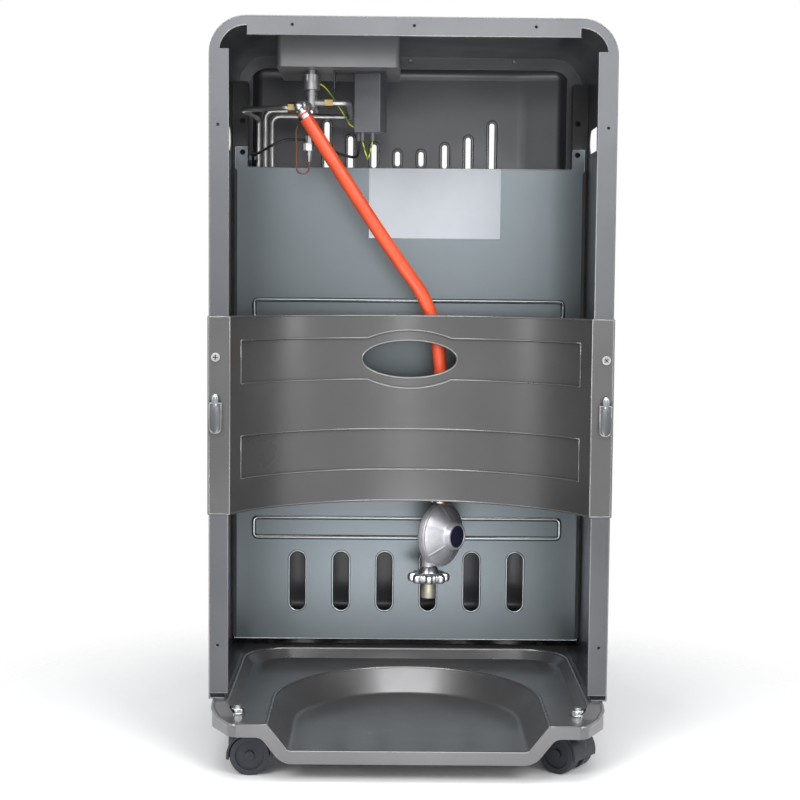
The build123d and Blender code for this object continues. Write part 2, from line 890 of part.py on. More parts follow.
def tray_block(inset, drop):
    """Block under the tray's upper face, with the ramps that rise to the ridge on both sides."""
    back = y_at(-tray_overhang - cut_margin)
    front = y_at(tray_front + cut_margin)
    with BuildPart() as block:
        with BuildSketch(Plane.XY.offset(platform_top - tray_lip)):
            add(tray_outline(inset))
        extrude(amount=ridge_top - drop - platform_top + tray_lip)
        with BuildSketch(Plane.YZ.offset(-half_width)):
            with BuildLine():
                FilletPolyline(
                    (back, ridge_top + cut_margin),
                    (back, platform_top - drop),
                    (y_at(-ridge_start - ridge_ramp), platform_top - drop),
                    (y_at(-ridge_start), ridge_top - drop),
                    (front, ridge_top - drop),
                    (front, ridge_top + cut_margin),
                    radius=[0, tray_ramp_radius, tray_ramp_radius, 0],
                )
                Line((front, ridge_top + cut_margin), (back, ridge_top + cut_margin))
            make_face()
        extrude(amount=cabinet_width, mode=Mode.SUBTRACT)
    return block.part


def floor_press(allowance, drop, near, far, far_corner, near_corner):
    """Tool that presses a flat floor between sloping walls, from the ridge down to the platform."""
    with BuildPart() as press:
        for level in (0, 1):
            half = ridge_inner + allowance - (1 - level) * ridge_slope
            back = near + (1 - level) * ridge_slope - allowance if near_corner else near
            front = far + allowance - (1 - level) * ridge_slope
            height = platform_top - drop + level * (ridge_top - platform_top)
            with BuildSketch(Plane.XY.offset(height)) as floor_plan:
                with Locations((0, y_at((back + front) / 2))):
                    Rectangle(2 * half, front - back)
                corner = far_corner - (1 - level) * ridge_slope + allowance
                fillet(floor_plan.vertices().group_by(Axis.Y)[-1], corner)
                if near_corner:
                    fillet(floor_plan.vertices().group_by(Axis.Y)[0], corner)
        loft(ruled=True)
    return press.part


def well_press(allowance, drop, bottom_fillet):
    """Tool that presses the bottle's well: straight sides that end in a half circle."""
    with BuildPart() as press:
        for level in (0, 1):
            half = well_half_width + allowance - (1 - level) * well_run
            centre = well_reach - well_half_width
            back = -tray_overhang
            with BuildSketch(Plane.XY.offset(well_bottom - drop + level * well_depth)):
                with BuildLine():
                    Line((half, y_at(back)), (half, y_at(centre)))
                    CenterArc((0, y_at(centre)), half, 0, 180)
                    Line((-half, y_at(centre)), (-half, y_at(back)))
                    Line((-half, y_at(back)), (half, y_at(back)))
                make_face()
        loft(ruled=True)
        bottom = press.faces().sort_by(Axis.Z)[0]
        rounded = [edge for edge in bottom.edges() if edge.center().Y > y_at(back) + cut_margin]
        fillet(rounded, bottom_fillet)
    return press.part


tray_outer = tray_block(0, 0)
tray_inner = tray_block(tray_sheet, tray_sheet)
rear_floor = floor_press(0, 0, -tray_overhang - cut_margin, floor_depth, floor_corner, False)
front_floor = floor_press(0, 0, front_ridge_start, front_ridge_end, front_floor_corner, True)
rear_floor_under = floor_press(
    ridge_allowance, tray_sheet, -tray_overhang, floor_depth, floor_corner, False
)
front_floor_under = floor_press(
    ridge_allowance, tray_sheet, front_ridge_start, front_ridge_end, front_floor_corner, True
)
well_upper = well_press(0, 0, well_fillet)
well_under = well_press(well_allowance, tray_sheet, well_fillet + tray_sheet)

# Undersides of the two floors, kept inside the outer form.
with BuildPart() as floors_under:
    add(rear_floor_under)
    add(front_floor_under)
    add(tray_outer, mode=Mode.INTERSECT)

caster_places = {
    "rear_left": (-rear_caster_x, y_at(-rear_caster_out)),
    "rear_right": (rear_caster_x, y_at(-rear_caster_out)),
    "front_left": (-front_caster_x, y_at(tray_front - front_caster_back)),
    "front_right": (front_caster_x, y_at(tray_front - front_caster_back)),
}

# Round flats pressed into the tray for the castor nuts.
with BuildPart() as seats_under:
    with BuildSketch(Plane.XY.offset(platform_under)):
        with Locations(*caster_places.values()):
            Circle(nut_seat_radius + tray_sheet)
    extrude(amount=ridge_top - platform_under)
    add(tray_outer, mode=Mode.INTERSECT)

with BuildPart() as base_tray:
    add(tray_outer)
    add(tray_inner, mode=Mode.SUBTRACT)
    add(floors_under.part)
    add(seats_under.part)
    add([rear_floor, front_floor], mode=Mode.SUBTRACT)
    with BuildSketch(Plane.XY.offset(platform_top)):
        with Locations(*caster_places.values()):
            Circle(nut_seat_radius)
    extrude(amount=ridge_top - platform_top, mode=Mode.SUBTRACT)
    add(well_under)
    # Lip along the rear edge, which follows the well down and up again.
    lip_shift = tray_lip * tan(radians(well_slope) / 2)
    with BuildSketch(at_depth(-tray_overhang + tray_sheet)):
        with BuildLine():
            FilletPolyline(
                (-well_half_width - lip_shift - tray_lip_run, platform_top),
                (-well_half_width - lip_shift - tray_lip_run, platform_top - tray_lip),
                (-well_half_width - lip_shift, platform_top - tray_lip),
                (-well_half_width - lip_shift + well_run, well_bottom - tray_lip),
                (well_half_width + lip_shift - well_run, well_bottom - tray_lip),
                (well_half_width + lip_shift, platform_top - tray_lip),
                (well_half_width + lip_shift + tray_lip_run, platform_top - tray_lip),
                (well_half_width + lip_shift + tray_lip_run, platform_top),
                radius=[0, *tray_lip_radii, *tray_lip_radii[::-1], 0],
            )
            Line(
                (well_half_width + lip_shift + tray_lip_run, platform_top),
                (-well_half_width - lip_shift - tray_lip_run, platform_top),
            )
        make_face()
    extrude(amount=tray_sheet)
    add(well_upper, mode=Mode.SUBTRACT)
    # Holes for the castor stems.
    with BuildSketch(Plane.XY.offset(platform_under)):
        with Locations(*caster_places.values()):
            Circle(stem_diameter / 2 + fit_gap)
    extrude(amount=tray_sheet, mode=Mode.SUBTRACT)
base_tray.part.label = "base_tray"
export_step(base_tray.part, "parts/base_tray.step")

# ---------------------------------------------------------------- bottle band

band_half_chord = half_width - band_end_width
zone_half_width = band_half_chord - zone_margin
band_radius = (band_half_chord**2 + band_sagitta**2) / (2 * band_sagitta)
band_centre_y = y_at(band_sagitta - band_radius)
band_outer = half_width + band_side_gap + band_sheet


def band_ring(inner, outer, low, high):
    """Curved wall about the band's axis, kept in front of the cabinet's rear face."""
    with BuildPart() as ring:
        with BuildSketch(Plane.XY.offset(low)):
            with Locations((0, band_centre_y)):
                Circle(outer)
                Circle(inner, mode=Mode.SUBTRACT)
            with Locations((0, rear - band_sheet + outer)):
                Rectangle(2 * outer, 2 * outer, mode=Mode.INTERSECT)
        extrude(amount=high - low)
    return ring.part


def zone_prism(grow, low, high, eye):
    """Prism through the band over one pressed zone, whose eye goes round the hand hole."""
    with BuildPart() as prism:
        with BuildSketch(at_depth(-band_sheet)) as zone:
            with BuildLine():
                Line((-zone_half_width, low), (-zone_half_width, high))
                if eye:
                    Line((-zone_half_width, high), (-eye_half_width, high))
                    ThreePointArc((-eye_half_width, high), (0, eye_top), (eye_half_width, high))
                    Line((eye_half_width, high), (zone_half_width, high))
                else:
                    Line((-zone_half_width, high), (zone_half_width, high))
                Line((zone_half_width, high), (zone_half_width, low))
                if eye:
                    Line((zone_half_width, low), (eye_half_width, low))
                    ThreePointArc((eye_half_width, low), (0, eye_bottom), (-eye_half_width, low))
                    Line((-eye_half_width, low), (-zone_half_width, low))
                else:
                    Line((zone_half_width, low), (-zone_half_width, low))
            make_face()
            if grow:
                offset(amount=grow)
        extrude(amount=-2 * band_radius)
    return prism.part


def ellipse_prism(grow):
    """Prism through the band over the hand hole."""
    with BuildPart() as prism:
        with BuildSketch(at_depth(0)):
            with Locations((0, hand_ellipse_z)):
                Ellipse(hand_ellipse[0] + grow, hand_ellipse[1] + grow)
        extrude(amount=-2 * band_radius)
    return prism.part


zones = ((*upper_zone, True), (*lower_zone, False))
press_backs = [zone_prism(band_sheet, *zone) for zone in zones]
press_fronts = [zone_prism(0, *zone) for zone in zones]
back_wall = band_ring(
    band_radius + band_sheet / 2, band_radius + band_sheet + band_press, band_bottom, band_top
)
front_wall = band_ring(band_radius - cut_margin, band_radius + band_press, band_bottom, band_top)
hand_hole = ellipse_prism(0)
rim_wall = band_ring(
    band_radius + band_press,
    band_radius + band_press + band_sheet + hand_rim_depth,
    band_bottom,
    band_top,
)
rim_form = ellipse_prism(band_sheet)

with BuildPart() as zone_backs:
    add(press_backs)
    add(back_wall, mode=Mode.INTERSECT)

with BuildPart() as zone_fronts:
    add(press_fronts)
    add(front_wall, mode=Mode.INTERSECT)

with BuildPart() as hand_rim:
    add(rim_form)
    add(rim_wall, mode=Mode.INTERSECT)

with BuildPart() as rear_band:
    add(band_ring(band_radius, band_radius + band_sheet, band_bottom, band_top))
    # Flat ends over the rear flanges, each with a return along the cabinet side.
    with BuildSketch(Plane.XY.offset(band_bottom)):
        for side in (-1, 1):
            with Locations((side * (band_half_chord + band_outer) / 2, rear - band_sheet / 2)):
                Rectangle(band_outer - band_half_chord, band_sheet)
            with Locations(
                (side * (band_outer - band_sheet / 2), rear + (band_return - band_sheet) / 2)
            ):
                Rectangle(band_sheet, band_return + band_sheet)
    extrude(amount=band_top - band_bottom)
    add(zone_backs.part)
    add(zone_fronts.part, mode=Mode.SUBTRACT)
    add(hand_rim.part)
    add(hand_hole, mode=Mode.SUBTRACT)
    # Hook pockets for the rear cover: a raised loop, open at its top.
    with BuildSketch(at_depth(-band_sheet)):
        with Locations((-hook_x, (hook_bottom + hook_top) / 2), (hook_x, (hook_bottom + hook_top) / 2)):
            SlotOverall(hook_top - hook_bottom, hook_width, rotation=90)
    extrude(amount=hook_proud)
    with BuildSketch(at_depth(0)):
        with Locations((-hook_x, (hook_bottom + hook_top) / 2), (hook_x, (hook_bottom + hook_top) / 2)):
            SlotOverall(
                hook_top - hook_bottom - 2 * band_sheet, hook_width - 2 * band_sheet, rotation=90
            )
    extrude(amount=hook_proud, mode=Mode.SUBTRACT)
    with BuildSketch(at_depth(-band_sheet)):
        with Locations((-hook_x, hook_top), (hook_x, hook_top)):
            Rectangle(2 * hook_width, hook_width)
    extrude(amount=hook_proud, mode=Mode.SUBTRACT)
    # Screw holes.
    with BuildSketch(at_depth(0)):
        with Locations(*band_screws):
            Circle(screw_shank_radius + fit_gap)
    extrude(amount=band_sheet, mode=Mode.SUBTRACT)
rear_band.part.label = "rear_band"
export_step(rear_band.part, "parts/rear_band.step")

# ---------------------------------------------------------------- burners

burner_pitch = (mouth_width - 2 * burner_side_room) / 3
plaque_width = burner_pitch - plaque_gap
bracket_front = rail_front + bracket_sheet
housing_width = plaque_width + 2 * (housing_wall + fit_gap)
housing_height = plaque_height + 2 * (housing_wall + fit_gap)
housing_front = bracket_front + housing_depth
burner_xs = {"left": -burner_pitch, "middle": 0.0, "right": burner_pitch}
tube_bottom = burner_centre_z - mixing_tube_length
boss_z = tube_bottom + boss_rise

for burner, burner_x in burner_xs.items():
    with BuildPart() as burner_housing:
        with BuildSketch(at_depth(bracket_front)):
            with Locations((burner_x, burner_centre_z)):
                RectangleRounded(housing_width, housing_height, housing_corner)
        extrude(amount=-housing_depth)
        # Seat of the plaque and the gas space behind it.
        with BuildSketch(at_depth(housing_front - plaque_thickness)):
            with Locations((burner_x, burner_centre_z)):
                Rectangle(plaque_width + 2 * fit_gap, plaque_height + 2 * fit_gap)
        extrude(amount=-plaque_thickness, mode=Mode.SUBTRACT)
        with BuildSketch(at_depth(bracket_front + housing_wall)):
            with Locations((burner_x, burner_centre_z)):
                Rectangle(plaque_width - 2 * plaque_seat, plaque_height - 2 * plaque_seat)
        extrude(amount=-housing_depth, mode=Mode.SUBTRACT)
        # Mixing tube with its air ports, and the boss that feeds the gas space.
        with BuildSketch(Plane.XY.offset(tube_bottom)):
            with Locations((burner_x, y_at(pipe_line_depth))):
                Circle(mixing_tube_diameter / 2)
        extrude(amount=boss_z + mixing_tube_diameter - tube_bottom)
        with BuildSketch(at_depth(pipe_line_depth)):
            with Locations((burner_x, boss_z)):
                RectangleRounded(mixing_tube_diameter, boss_height, boss_corner)
        extrude(amount=-(bracket_front - pipe_line_depth + housing_wall))
        with BuildSketch(Plane.XY.offset(tube_bottom)):
            with Locations((burner_x, y_at(pipe_line_depth))):
                Circle(mixing_tube_diameter / 2 - housing_wall)
        extrude(amount=boss_z + mixing_tube_diameter / 2 - tube_bottom, mode=Mode.SUBTRACT)
        with BuildSketch(at_depth(pipe_line_depth)):
            with Locations((burner_x, boss_z)):
                Circle(mixing_tube_diameter / 2 - 2 * housing_wall)
        extrude(amount=-(bracket_front - pipe_line_depth + 2 * housing_wall), mode=Mode.SUBTRACT)
        with BuildSketch(Plane.YZ.offset(burner_x - mixing_tube_diameter)):
            with Locations((y_at(pipe_line_depth), tube_bottom + air_port_rise)):
                Circle(air_port_radius)
        extrude(amount=2 * mixing_tube_diameter, mode=Mode.SUBTRACT)
    burner_housing.part.label = f"burner_housing_{burner}"
    export_step(burner_housing.part, f"parts/burner_housing_{burner}.step")

    with BuildPart() as burner_plaque:
        with BuildSketch(at_depth(housing_front - plaque_thickness)):
            with Locations((burner_x, burner_centre_z)):
                Rectangle(plaque_width, plaque_height)
        extrude(amount=-plaque_thickness)
        chamfer(burner_plaque.faces().sort_by(Axis.Y)[-1].edges(), plaque_chamfer)
    burner_plaque.part.label = f"burner_plaque_{burner}"
    export_step(burner_plaque.part, f"parts/burner_plaque_{burner}.step")

bracket_top = ear_top - bracket_drop
bracket_edge = bracket_side_gap - rail_outer

with BuildPart() as burner_bracket:
    with BuildSketch(at_depth(rail_front)):
        for bar_z in (
            burner_centre_z + housing_height / 2 + bracket_bar / 2 - bracket_lap,
            burner_centre_z - housing_height / 2 - bracket_bar / 2 + bracket_lap,
        ):
            with Locations((0, bar_z)):
                Rectangle(-2 * bracket_edge, bracket_bar)
        # Arm that rises at the left and holds the pipes at its top.
        arm_foot = burner_centre_z + housing_height / 2
        with Locations((bracket_edge + bracket_arm_width / 2, (arm_foot + bracket_top) / 2)):
            Rectangle(bracket_arm_width, bracket_top - arm_foot)
        with Locations((bracket_edge + bracket_shelf[0] / 2, bracket_top - bracket_shelf[1] / 2)):
            Rectangle(*bracket_shelf)
    extrude(amount=-bracket_sheet)
burner_bracket.part.label = "burner_bracket"
export_step(burner_bracket.part, "parts/burner_bracket.step")

array_half = burner_pitch + housing_width / 2 + reflector_margin
array_half_height = housing_height / 2 + reflector_margin
reflector_back = housing_front - reflector_lap

with BuildPart() as reflector:
    # Funnel from the burners out to the radiant opening.
    for grow, mode in ((0.0, Mode.ADD), (-reflector_sheet, Mode.SUBTRACT)):
        with BuildSketch(at_depth(reflector_back)):
            with Locations((0, burner_centre_z)):
                Rectangle(
                    2 * (array_half + reflector_sheet + grow),
                    2 * (array_half_height + reflector_sheet + grow),
                )
        with BuildSketch(at_depth(cabinet_depth)):
            with Locations((0, mouth_centre_z)):
                Rectangle(mouth_width + 2 * sheet + 2 * grow, mouth_height + 2 * sheet + 2 * grow)
        loft(ruled=True, mode=mode)
    # Back of the funnel, with a window for each burner.
    with BuildSketch(at_depth(reflector_back)):
        with Locations((0, burner_centre_z)):
            Rectangle(2 * (array_half + reflector_sheet), 2 * (array_half_height + reflector_sheet))
        with Locations(*[(x, burner_centre_z) for x in burner_xs.values()]):
            Rectangle(
                housing_width + 2 * fit_gap, housing_height + 2 * fit_gap, mode=Mode.SUBTRACT
            )
    extrude(amount=-reflector_sheet)
reflector.part.label = "reflector"
export_step(reflector.part, "parts/reflector.step")

with BuildPart() as injectors:
    for burner_x in burner_xs.values():
        with BuildSketch(Plane.XY.offset(tube_bottom - injector_height)):
            with Locations((burner_x, y_at(pipe_line_depth))):
                RegularPolygon(injector_flats / 2, 6, major_radius=False)
        extrude(amount=injector_height)
        with BuildSketch(Plane.XY.offset(tube_bottom)):
            with Locations((burner_x, y_at(pipe_line_depth))):
                Circle(mixing_tube_diameter / 2 - housing_wall - fit_gap)
        extrude(amount=injector_spigot)
injectors.part.label = "injectors"
export_step(injectors.part, "parts/injectors.step")

# ---------------------------------------------------------------- screws

screw_seats = [(x, -band_sheet, z, 1) for x, z in band_screws]
screw_seats += [(x, cabinet_depth + sheet, z, -1) for x, z in panel_screws]

with BuildPart() as sheet_screws:
    for x, depth, z, outward in screw_seats:
        with BuildSketch(at_depth(depth)):
            with Locations((x, z)):
                Circle(screw_head_radius)
        extrude(amount=outward * screw_head_height)
        with BuildSketch(at_depth(depth)):
            with Locations((x, z)):
                Circle(screw_shank_radius)
        extrude(amount=-outward * screw_shank_length)
        with BuildSketch(at_depth(depth - outward * (screw_head_height - screw_slot[2]))):
            with Locations((x, z)):
                Rectangle(screw_slot[0], screw_slot[1])
                Rectangle(screw_slot[1], screw_slot[0])
        extrude(amount=outward * screw_slot[2], mode=Mode.SUBTRACT)
sheet_screws.part.label = "sheet_screws"
export_step(sheet_screws.part, "parts/sheet_screws.step")

# ---------------------------------------------------------------- gas valve

valve_axis = (valve_x, valve_depth)
valve_pieces = [
    rod(
        place(*valve_axis, valve_body_bottom),
        place(*valve_axis, valve_body_top),
        valve_body_radius,
    ),
    rod(place(*valve_axis, valve_body_top), place(*valve_axis, valve_neck_top), valve_neck_radius),
    rod(place(*valve_axis, valve_ring_z[0]), place(*valve_axis, valve_ring_z[1]), valve_ring_radius),
    rod(place(*valve_axis, valve_bottom), place(*valve_axis, valve_body_bottom), valve_low_radius),
    hexagon(
        place(*valve_axis, valve_hex_bottom), place(*valve_axis, valve_body_top), valve_hex_flats
    ),
    rod(
        place(*valve_axis, right_branch[1]),
        place(right_branch[0], valve_depth, right_branch[1]),
        valve_branch_radius,
    ),
    rod(
        place(valve_x, left_branch[1], left_branch[2]),
        place(*left_branch),
        valve_branch_radius,
    ),
    rod(
        place(*valve_axis, front_branch[1]),
        place(valve_x, *front_branch),
        valve_branch_radius,
    ),
]
hose_route = [place(*point) for point in hose_points]
nozzle_elbow = along(hose_route[0], hose_route[1], -nozzle_elbow_run)
nozzle_root = place(*valve_axis, valve_bottom + valve_low_radius / 3)
nozzle_boss = rod(nozzle_root, along(nozzle_root, nozzle_elbow, nozzle_nut_span[0]), nozzle_radius)

with BuildPart() as gas_valve_body:
    add(valve_pieces)
    add(nozzle_boss)
    with Locations(place(valve_x, valve_foot_depth, left_branch[2])):
        Sphere(valve_foot_radius)
    with BuildSketch(Plane.XY.offset(bore_bottom)):
        with Locations(place(*valve_axis, 0)[:2]):
            Circle(spindle_diameter / 2 + running_gap)
    extrude(amount=valve_neck_top - bore_bottom, mode=Mode.SUBTRACT)
gas_valve_body.part.label = "gas_valve_body"
export_step(gas_valve_body.part, "parts/gas_valve_body.step")

well_floor_top = well_floor + well_wall
with BuildPart() as valve_nut:
    with BuildSketch(Plane.XY.offset(well_floor_top)):
        with Locations(place(*valve_axis, 0)[:2]):
            RegularPolygon(valve_nut_flats / 2, 6, major_radius=False)
            Circle(valve_neck_radius + pipe_fit, mode=Mode.SUBTRACT)
    extrude(amount=valve_nut_height)
valve_nut.part.label = "valve_nut"
export_step(valve_nut.part, "parts/valve_nut.step")

collar_top = collar_base + collar_thickness
with BuildPart() as spindle_collar:
    with BuildSketch(Plane.XY.offset(collar_base)):
        with Locations(place(*valve_axis, 0)[:2]):
            Circle(collar_radius)
            Circle(spindle_diameter / 2 + running_gap, mode=Mode.SUBTRACT)
    extrude(amount=collar_thickness)
spindle_collar.part.label = "spindle_collar"
export_step(spindle_collar.part, "parts/spindle_collar.step")

spindle_bar = rod(
    place(*valve_axis, spindle_bottom), place(*valve_axis, spindle_top), spindle_diameter / 2
)
with BuildPart() as valve_spindle:
    add(spindle_bar)
valve_spindle.part.label = "valve_spindle"
export_step(valve_spindle.part, "parts/valve_spindle.step")

knob_top = knob_base + knob_height
with BuildPart() as control_knob:
    with BuildSketch(Plane.XY.offset(knob_base)):
        with Locations(place(*valve_axis, 0)[:2]):
            Circle(knob_diameter / 2)
    extrude(amount=knob_skirt)
    with BuildSketch(Plane.XY.offset(knob_base + knob_skirt)):
        with Locations(place(*valve_axis, 0)[:2]):
            Circle(knob_diameter / 2 - knob_step)
            Rectangle(knob_grip, knob_diameter, mode=Mode.INTERSECT)
    extrude(amount=knob_height - knob_skirt, taper=knob_taper)
    chamfer(control_knob.faces().sort_by(Axis.Z)[-1].edges(), knob_chamfer)
    with BuildSketch(Plane.XY.offset(knob_base)):
        with Locations(place(*valve_axis, 0)[:2]):
            Circle(knob_bore_radius)
    extrude(amount=collar_top - knob_base, mode=Mode.SUBTRACT)
    with BuildSketch(Plane.XY.offset(collar_top)):
        with Locations(place(*valve_axis, 0)[:2]):
            Circle(spindle_diameter / 2)
    extrude(amount=spindle_top - collar_top, mode=Mode.SUBTRACT)
    # Pointer mark on the grip.
    with BuildSketch(Plane.XY.offset(knob_top - pointer_depth)):
        with Locations(place(valve_x, valve_depth + pointer_size[1], 0)[:2]):
            Rectangle(*pointer_size)
    extrude(amount=pointer_depth, mode=Mode.SUBTRACT)
control_knob.part.label = "control_knob"
export_step(control_knob.part, "parts/control_knob.step")

# ---------------------------------------------------------------- gas pipes

injector_foot = tube_bottom - injector_height
pipe_columns = {burner: inset - half_width for burner, inset in column_insets.items()}
pipe_starts = {
    "right": [
        place(*left_branch),
        place(left_branch[0] - pipe_straight, left_branch[1], left_branch[2]),
        place(pipe_corner_inset - half_width, pipe_corner_depth, left_branch[2]),
        place(pipe_columns["right"], pipe_line_depth, left_branch[2]),
    ],
    "middle": [
        place(valve_x, *front_branch),
        place(valve_x, pipe_line_depth, front_branch[1]),
        place(pipe_columns["middle"], pipe_line_depth, front_branch[1]),
    ],
    "left": [
        place(right_branch[0], valve_depth, right_branch[1]),
        place(pipe_turn_x, valve_depth, right_branch[1]),
        place(pipe_turn_x, pipe_line_depth, left_pipe_z),
        place(pipe_columns["left"], pipe_line_depth, left_pipe_z),
    ],
}

for burner, pipe_start in pipe_starts.items():
    pipe_route = pipe_start + [
        place(pipe_columns[burner], pipe_line_depth, pipe_levels[burner]),
        place(burner_xs[burner], pipe_line_depth, pipe_levels[burner]),
        place(burner_xs[burner], pipe_line_depth, injector_foot),
    ]
    pipe_bar = bent_rod(pipe_route, pipe_bend, pipe_diameter / 2)
    with BuildPart() as burner_pipe:
        add(pipe_bar)
    burner_pipe.part.label = f"burner_pipe_{burner}"
    export_step(burner_pipe.part, f"parts/burner_pipe_{burner}.step")

nut_blocks = []
nut_bores = []
for pipe_start in pipe_starts.values():
    nut_end = along(pipe_start[0], pipe_start[1], nut_length)
    nut_blocks.append(hexagon(pipe_start[0], nut_end, nut_flats))
    nut_bores.append(rod(pipe_start[0], nut_end, pipe_diameter / 2 + pipe_fit))

with BuildPart() as pipe_nuts:
    add(nut_blocks)
    add(nut_bores, mode=Mode.SUBTRACT)
pipe_nuts.part.label = "pipe_nuts"
export_step(pipe_nuts.part, "parts/pipe_nuts.step")

# ---------------------------------------------------------------- hose with its nozzle and clamps

hose_radii = easy_radii(hose_route)
print("hose bend radii", [round(radius, 1) for radius in hose_radii])
hose_bar = bent_rod(hose_route, hose_radii, hose_diameter / 2)
with BuildPart() as gas_hose:
    add(hose_bar)
gas_hose.part.label = "gas_hose"
export_step(gas_hose.part, "parts/gas_hose.step")

nozzle_end = along(hose_route[0], hose_route[1], -joint_gap)
nozzle_pieces = [
    hexagon(
        along(nozzle_root, nozzle_elbow, nozzle_nut_span[0]),
        along(nozzle_root, nozzle_elbow, nozzle_nut_span[1]),
        nozzle_nut_flats,
    ),
    rod(along(nozzle_root, nozzle_elbow, nozzle_nut_span[1]), nozzle_elbow, nozzle_radius),
    rod(nozzle_elbow, nozzle_end, nozzle_radius),
    rod(along(hose_route[0], hose_route[1], -nozzle_collar), nozzle_end, nozzle_collar_radius),
]
with BuildPart() as hose_nozzle:
    add(nozzle_pieces)
    with Locations(nozzle_elbow):
        Sphere(nozzle_elbow_radius)
hose_nozzle.part.label = "hose_nozzle"
export_step(hose_nozzle.part, "parts/hose_nozzle.step")

hose_ends = {"upper": (hose_route[0], hose_route[1]), "lower": (hose_route[-1], hose_route[-2])}
for clamp_word, (hose_end, hose_next) in hose_ends.items():
    clamp_end = along(hose_end, hose_next, clamp_width)
    clamp_ring = rod(hose_end, clamp_end, hose_diameter / 2 + clamp_gap + clamp_wall)
    clamp_bore = rod(hose_end, clamp_end, hose_diameter / 2 + clamp_gap)
    clamp_centre = along(hose_end, hose_next, (clamp_width - clamp_lug[0]) / 2)
    lug_plane = tube_plane(clamp_centre, Vector(*clamp_end) - Vector(*hose_end))
    with BuildPart() as hose_clamp:
        add(clamp_ring)
        with BuildSketch(lug_plane):
            with Locations((0, hose_diameter / 2 + clamp_lug[1] / 2)):
                Rectangle(2 * clamp_lug[1], clamp_lug[1])
        extrude(amount=clamp_lug[0])
        add(clamp_bore, mode=Mode.SUBTRACT)
    hose_clamp.part.label = f"hose_clamp_{clamp_word}"
    export_step(hose_clamp.part, f"parts/hose_clamp_{clamp_word}.step")

# ---------------------------------------------------------------- pressure regulator

dial_direction = (sin(radians(regulator_turn)), -cos(radians(regulator_turn)), 0)
regulator_centre = place(regulator_x, regulator_depth, regulator_z)
turning_plane = Plane(
    origin=regulator_centre,
    x_dir=dial_direction,
    z_dir=(dial_direction[1], -dial_direction[0], 0),
)
stem_x = regulator_centre[0] - stem_offset * dial_direction[0]
stem_y = regulator_centre[1] - stem_offset * dial_direction[1]
outlet_end = along(hose_route[-1], hose_route[-2], -joint_gap)
outlet_foot = along(hose_route[-1], hose_route[-2], -outlet_run)
outlet_hole = rod(outlet_foot, outlet_end, outlet_radius + fit_gap)


def dial_plane(distance):
    """Plane square to the regulator's axis, at a distance in front of its seam."""
    return Plane(origin=turning_plane.from_local_coords((distance, 0, 0)), z_dir=dial_direction)


def dial_disc(start, end, radius):
    """Disc about the regulator's axis."""
    with BuildPart() as disc:
        with BuildSketch(dial_plane(start)):
            Circle(radius)
        extrude(amount=end - start)
    return disc.part


stem_pieces = [
    rod((stem_x, stem_y, handwheel_top + handwheel_gap), (stem_x, stem_y, stem_top), stem_radius),
    rod((stem_x, stem_y, spigot_bottom), (stem_x, stem_y, stem_top), spigot_radius),
    rod(outlet_foot, outlet_end, outlet_radius),
    rod(along(outlet_end, outlet_foot, nozzle_collar), outlet_end, nozzle_collar_radius),
]
with BuildPart() as regulator_body:
    with BuildSketch(turning_plane):
        with BuildLine():
            Polyline(
                (0, 0),
                (0, regulator_radius),
                (-regulator_rim, regulator_radius),
                *back_profile,
                (back_profile[-1][0], 0),
                (0, 0),
            )
        make_face()
    revolve(axis=Axis(regulator_centre, dial_direction))
    add(stem_pieces)
regulator_body.part.label = "regulator_body"
export_step(regulator_body.part, "parts/regulator_body.step")

with BuildPart() as regulator_cover:
    with BuildSketch(dial_plane(0)):
        Circle(regulator_radius)
    extrude(amount=regulator_rim)
    with BuildSketch(dial_plane(regulator_rim)):
        RegularPolygon(regulator_radius - fit_gap, cover_facets)
    with BuildSketch(dial_plane(boss_reach[0])):
        RegularPolygon(cover_top_radius, cover_facets)
    loft(ruled=True)
    with BuildSketch(dial_plane(boss_reach[0])):
        Circle(boss_radius)
    extrude(amount=boss_reach[1] - boss_reach[0])
    with BuildSketch(dial_plane(boss_reach[1] - cap_pocket)):
        Circle(cap_radius + pipe_fit)
    extrude(amount=cap_pocket, mode=Mode.SUBTRACT)
    add(outlet_hole, mode=Mode.SUBTRACT)
regulator_cover.part.label = "regulator_cover"
export_step(regulator_cover.part, "parts/regulator_cover.step")

cap_disc = dial_disc(
    boss_reach[1] - cap_pocket, boss_reach[1] - cap_pocket + cap_thickness, cap_radius
)
with BuildPart() as regulator_cap:
    add(cap_disc)
regulator_cap.part.label = "regulator_cap"
export_step(regulator_cap.part, "parts/regulator_cap.step")

hub_cone = rod(
    (stem_x, stem_y, handwheel_bottom + handwheel_rim),
    (stem_x, stem_y, handwheel_top),
    handwheel_hub_radii[1],
    handwheel_hub_radii[0],
)
with BuildPart() as regulator_nut:
    with BuildSketch(Plane.XY.offset(handwheel_bottom)):
        with Locations((stem_x, stem_y)):
            Circle(handwheel_ring_radius)
            with PolarLocations(handwheel_ring_radius, handwheel_lobes):
                Circle(handwheel_lobe_radius)
    extrude(amount=handwheel_rim)
    add(hub_cone)
    with BuildSketch(Plane.XY.offset(handwheel_bottom)):
        with Locations((stem_x, stem_y)):
            Circle(spigot_radius + running_gap)
    extrude(amount=handwheel_top - handwheel_bottom, mode=Mode.SUBTRACT)
regulator_nut.part.label = "regulator_nut"
export_step(regulator_nut.part, "parts/regulator_nut.step")

with BuildPart() as regulator_thread:
    with BuildSketch(Plane.XY.offset(thread_bottom)):
        with Locations((stem_x, stem_y)):
            Circle(thread_radius)
            Circle(spigot_radius + running_gap, mode=Mode.SUBTRACT)
    extrude(amount=handwheel_bottom - thread_bottom)
regulator_thread.part.label = "regulator_thread"
export_step(regulator_thread.part, "parts/regulator_thread.step")

# ---------------------------------------------------------------- flame sensor joint

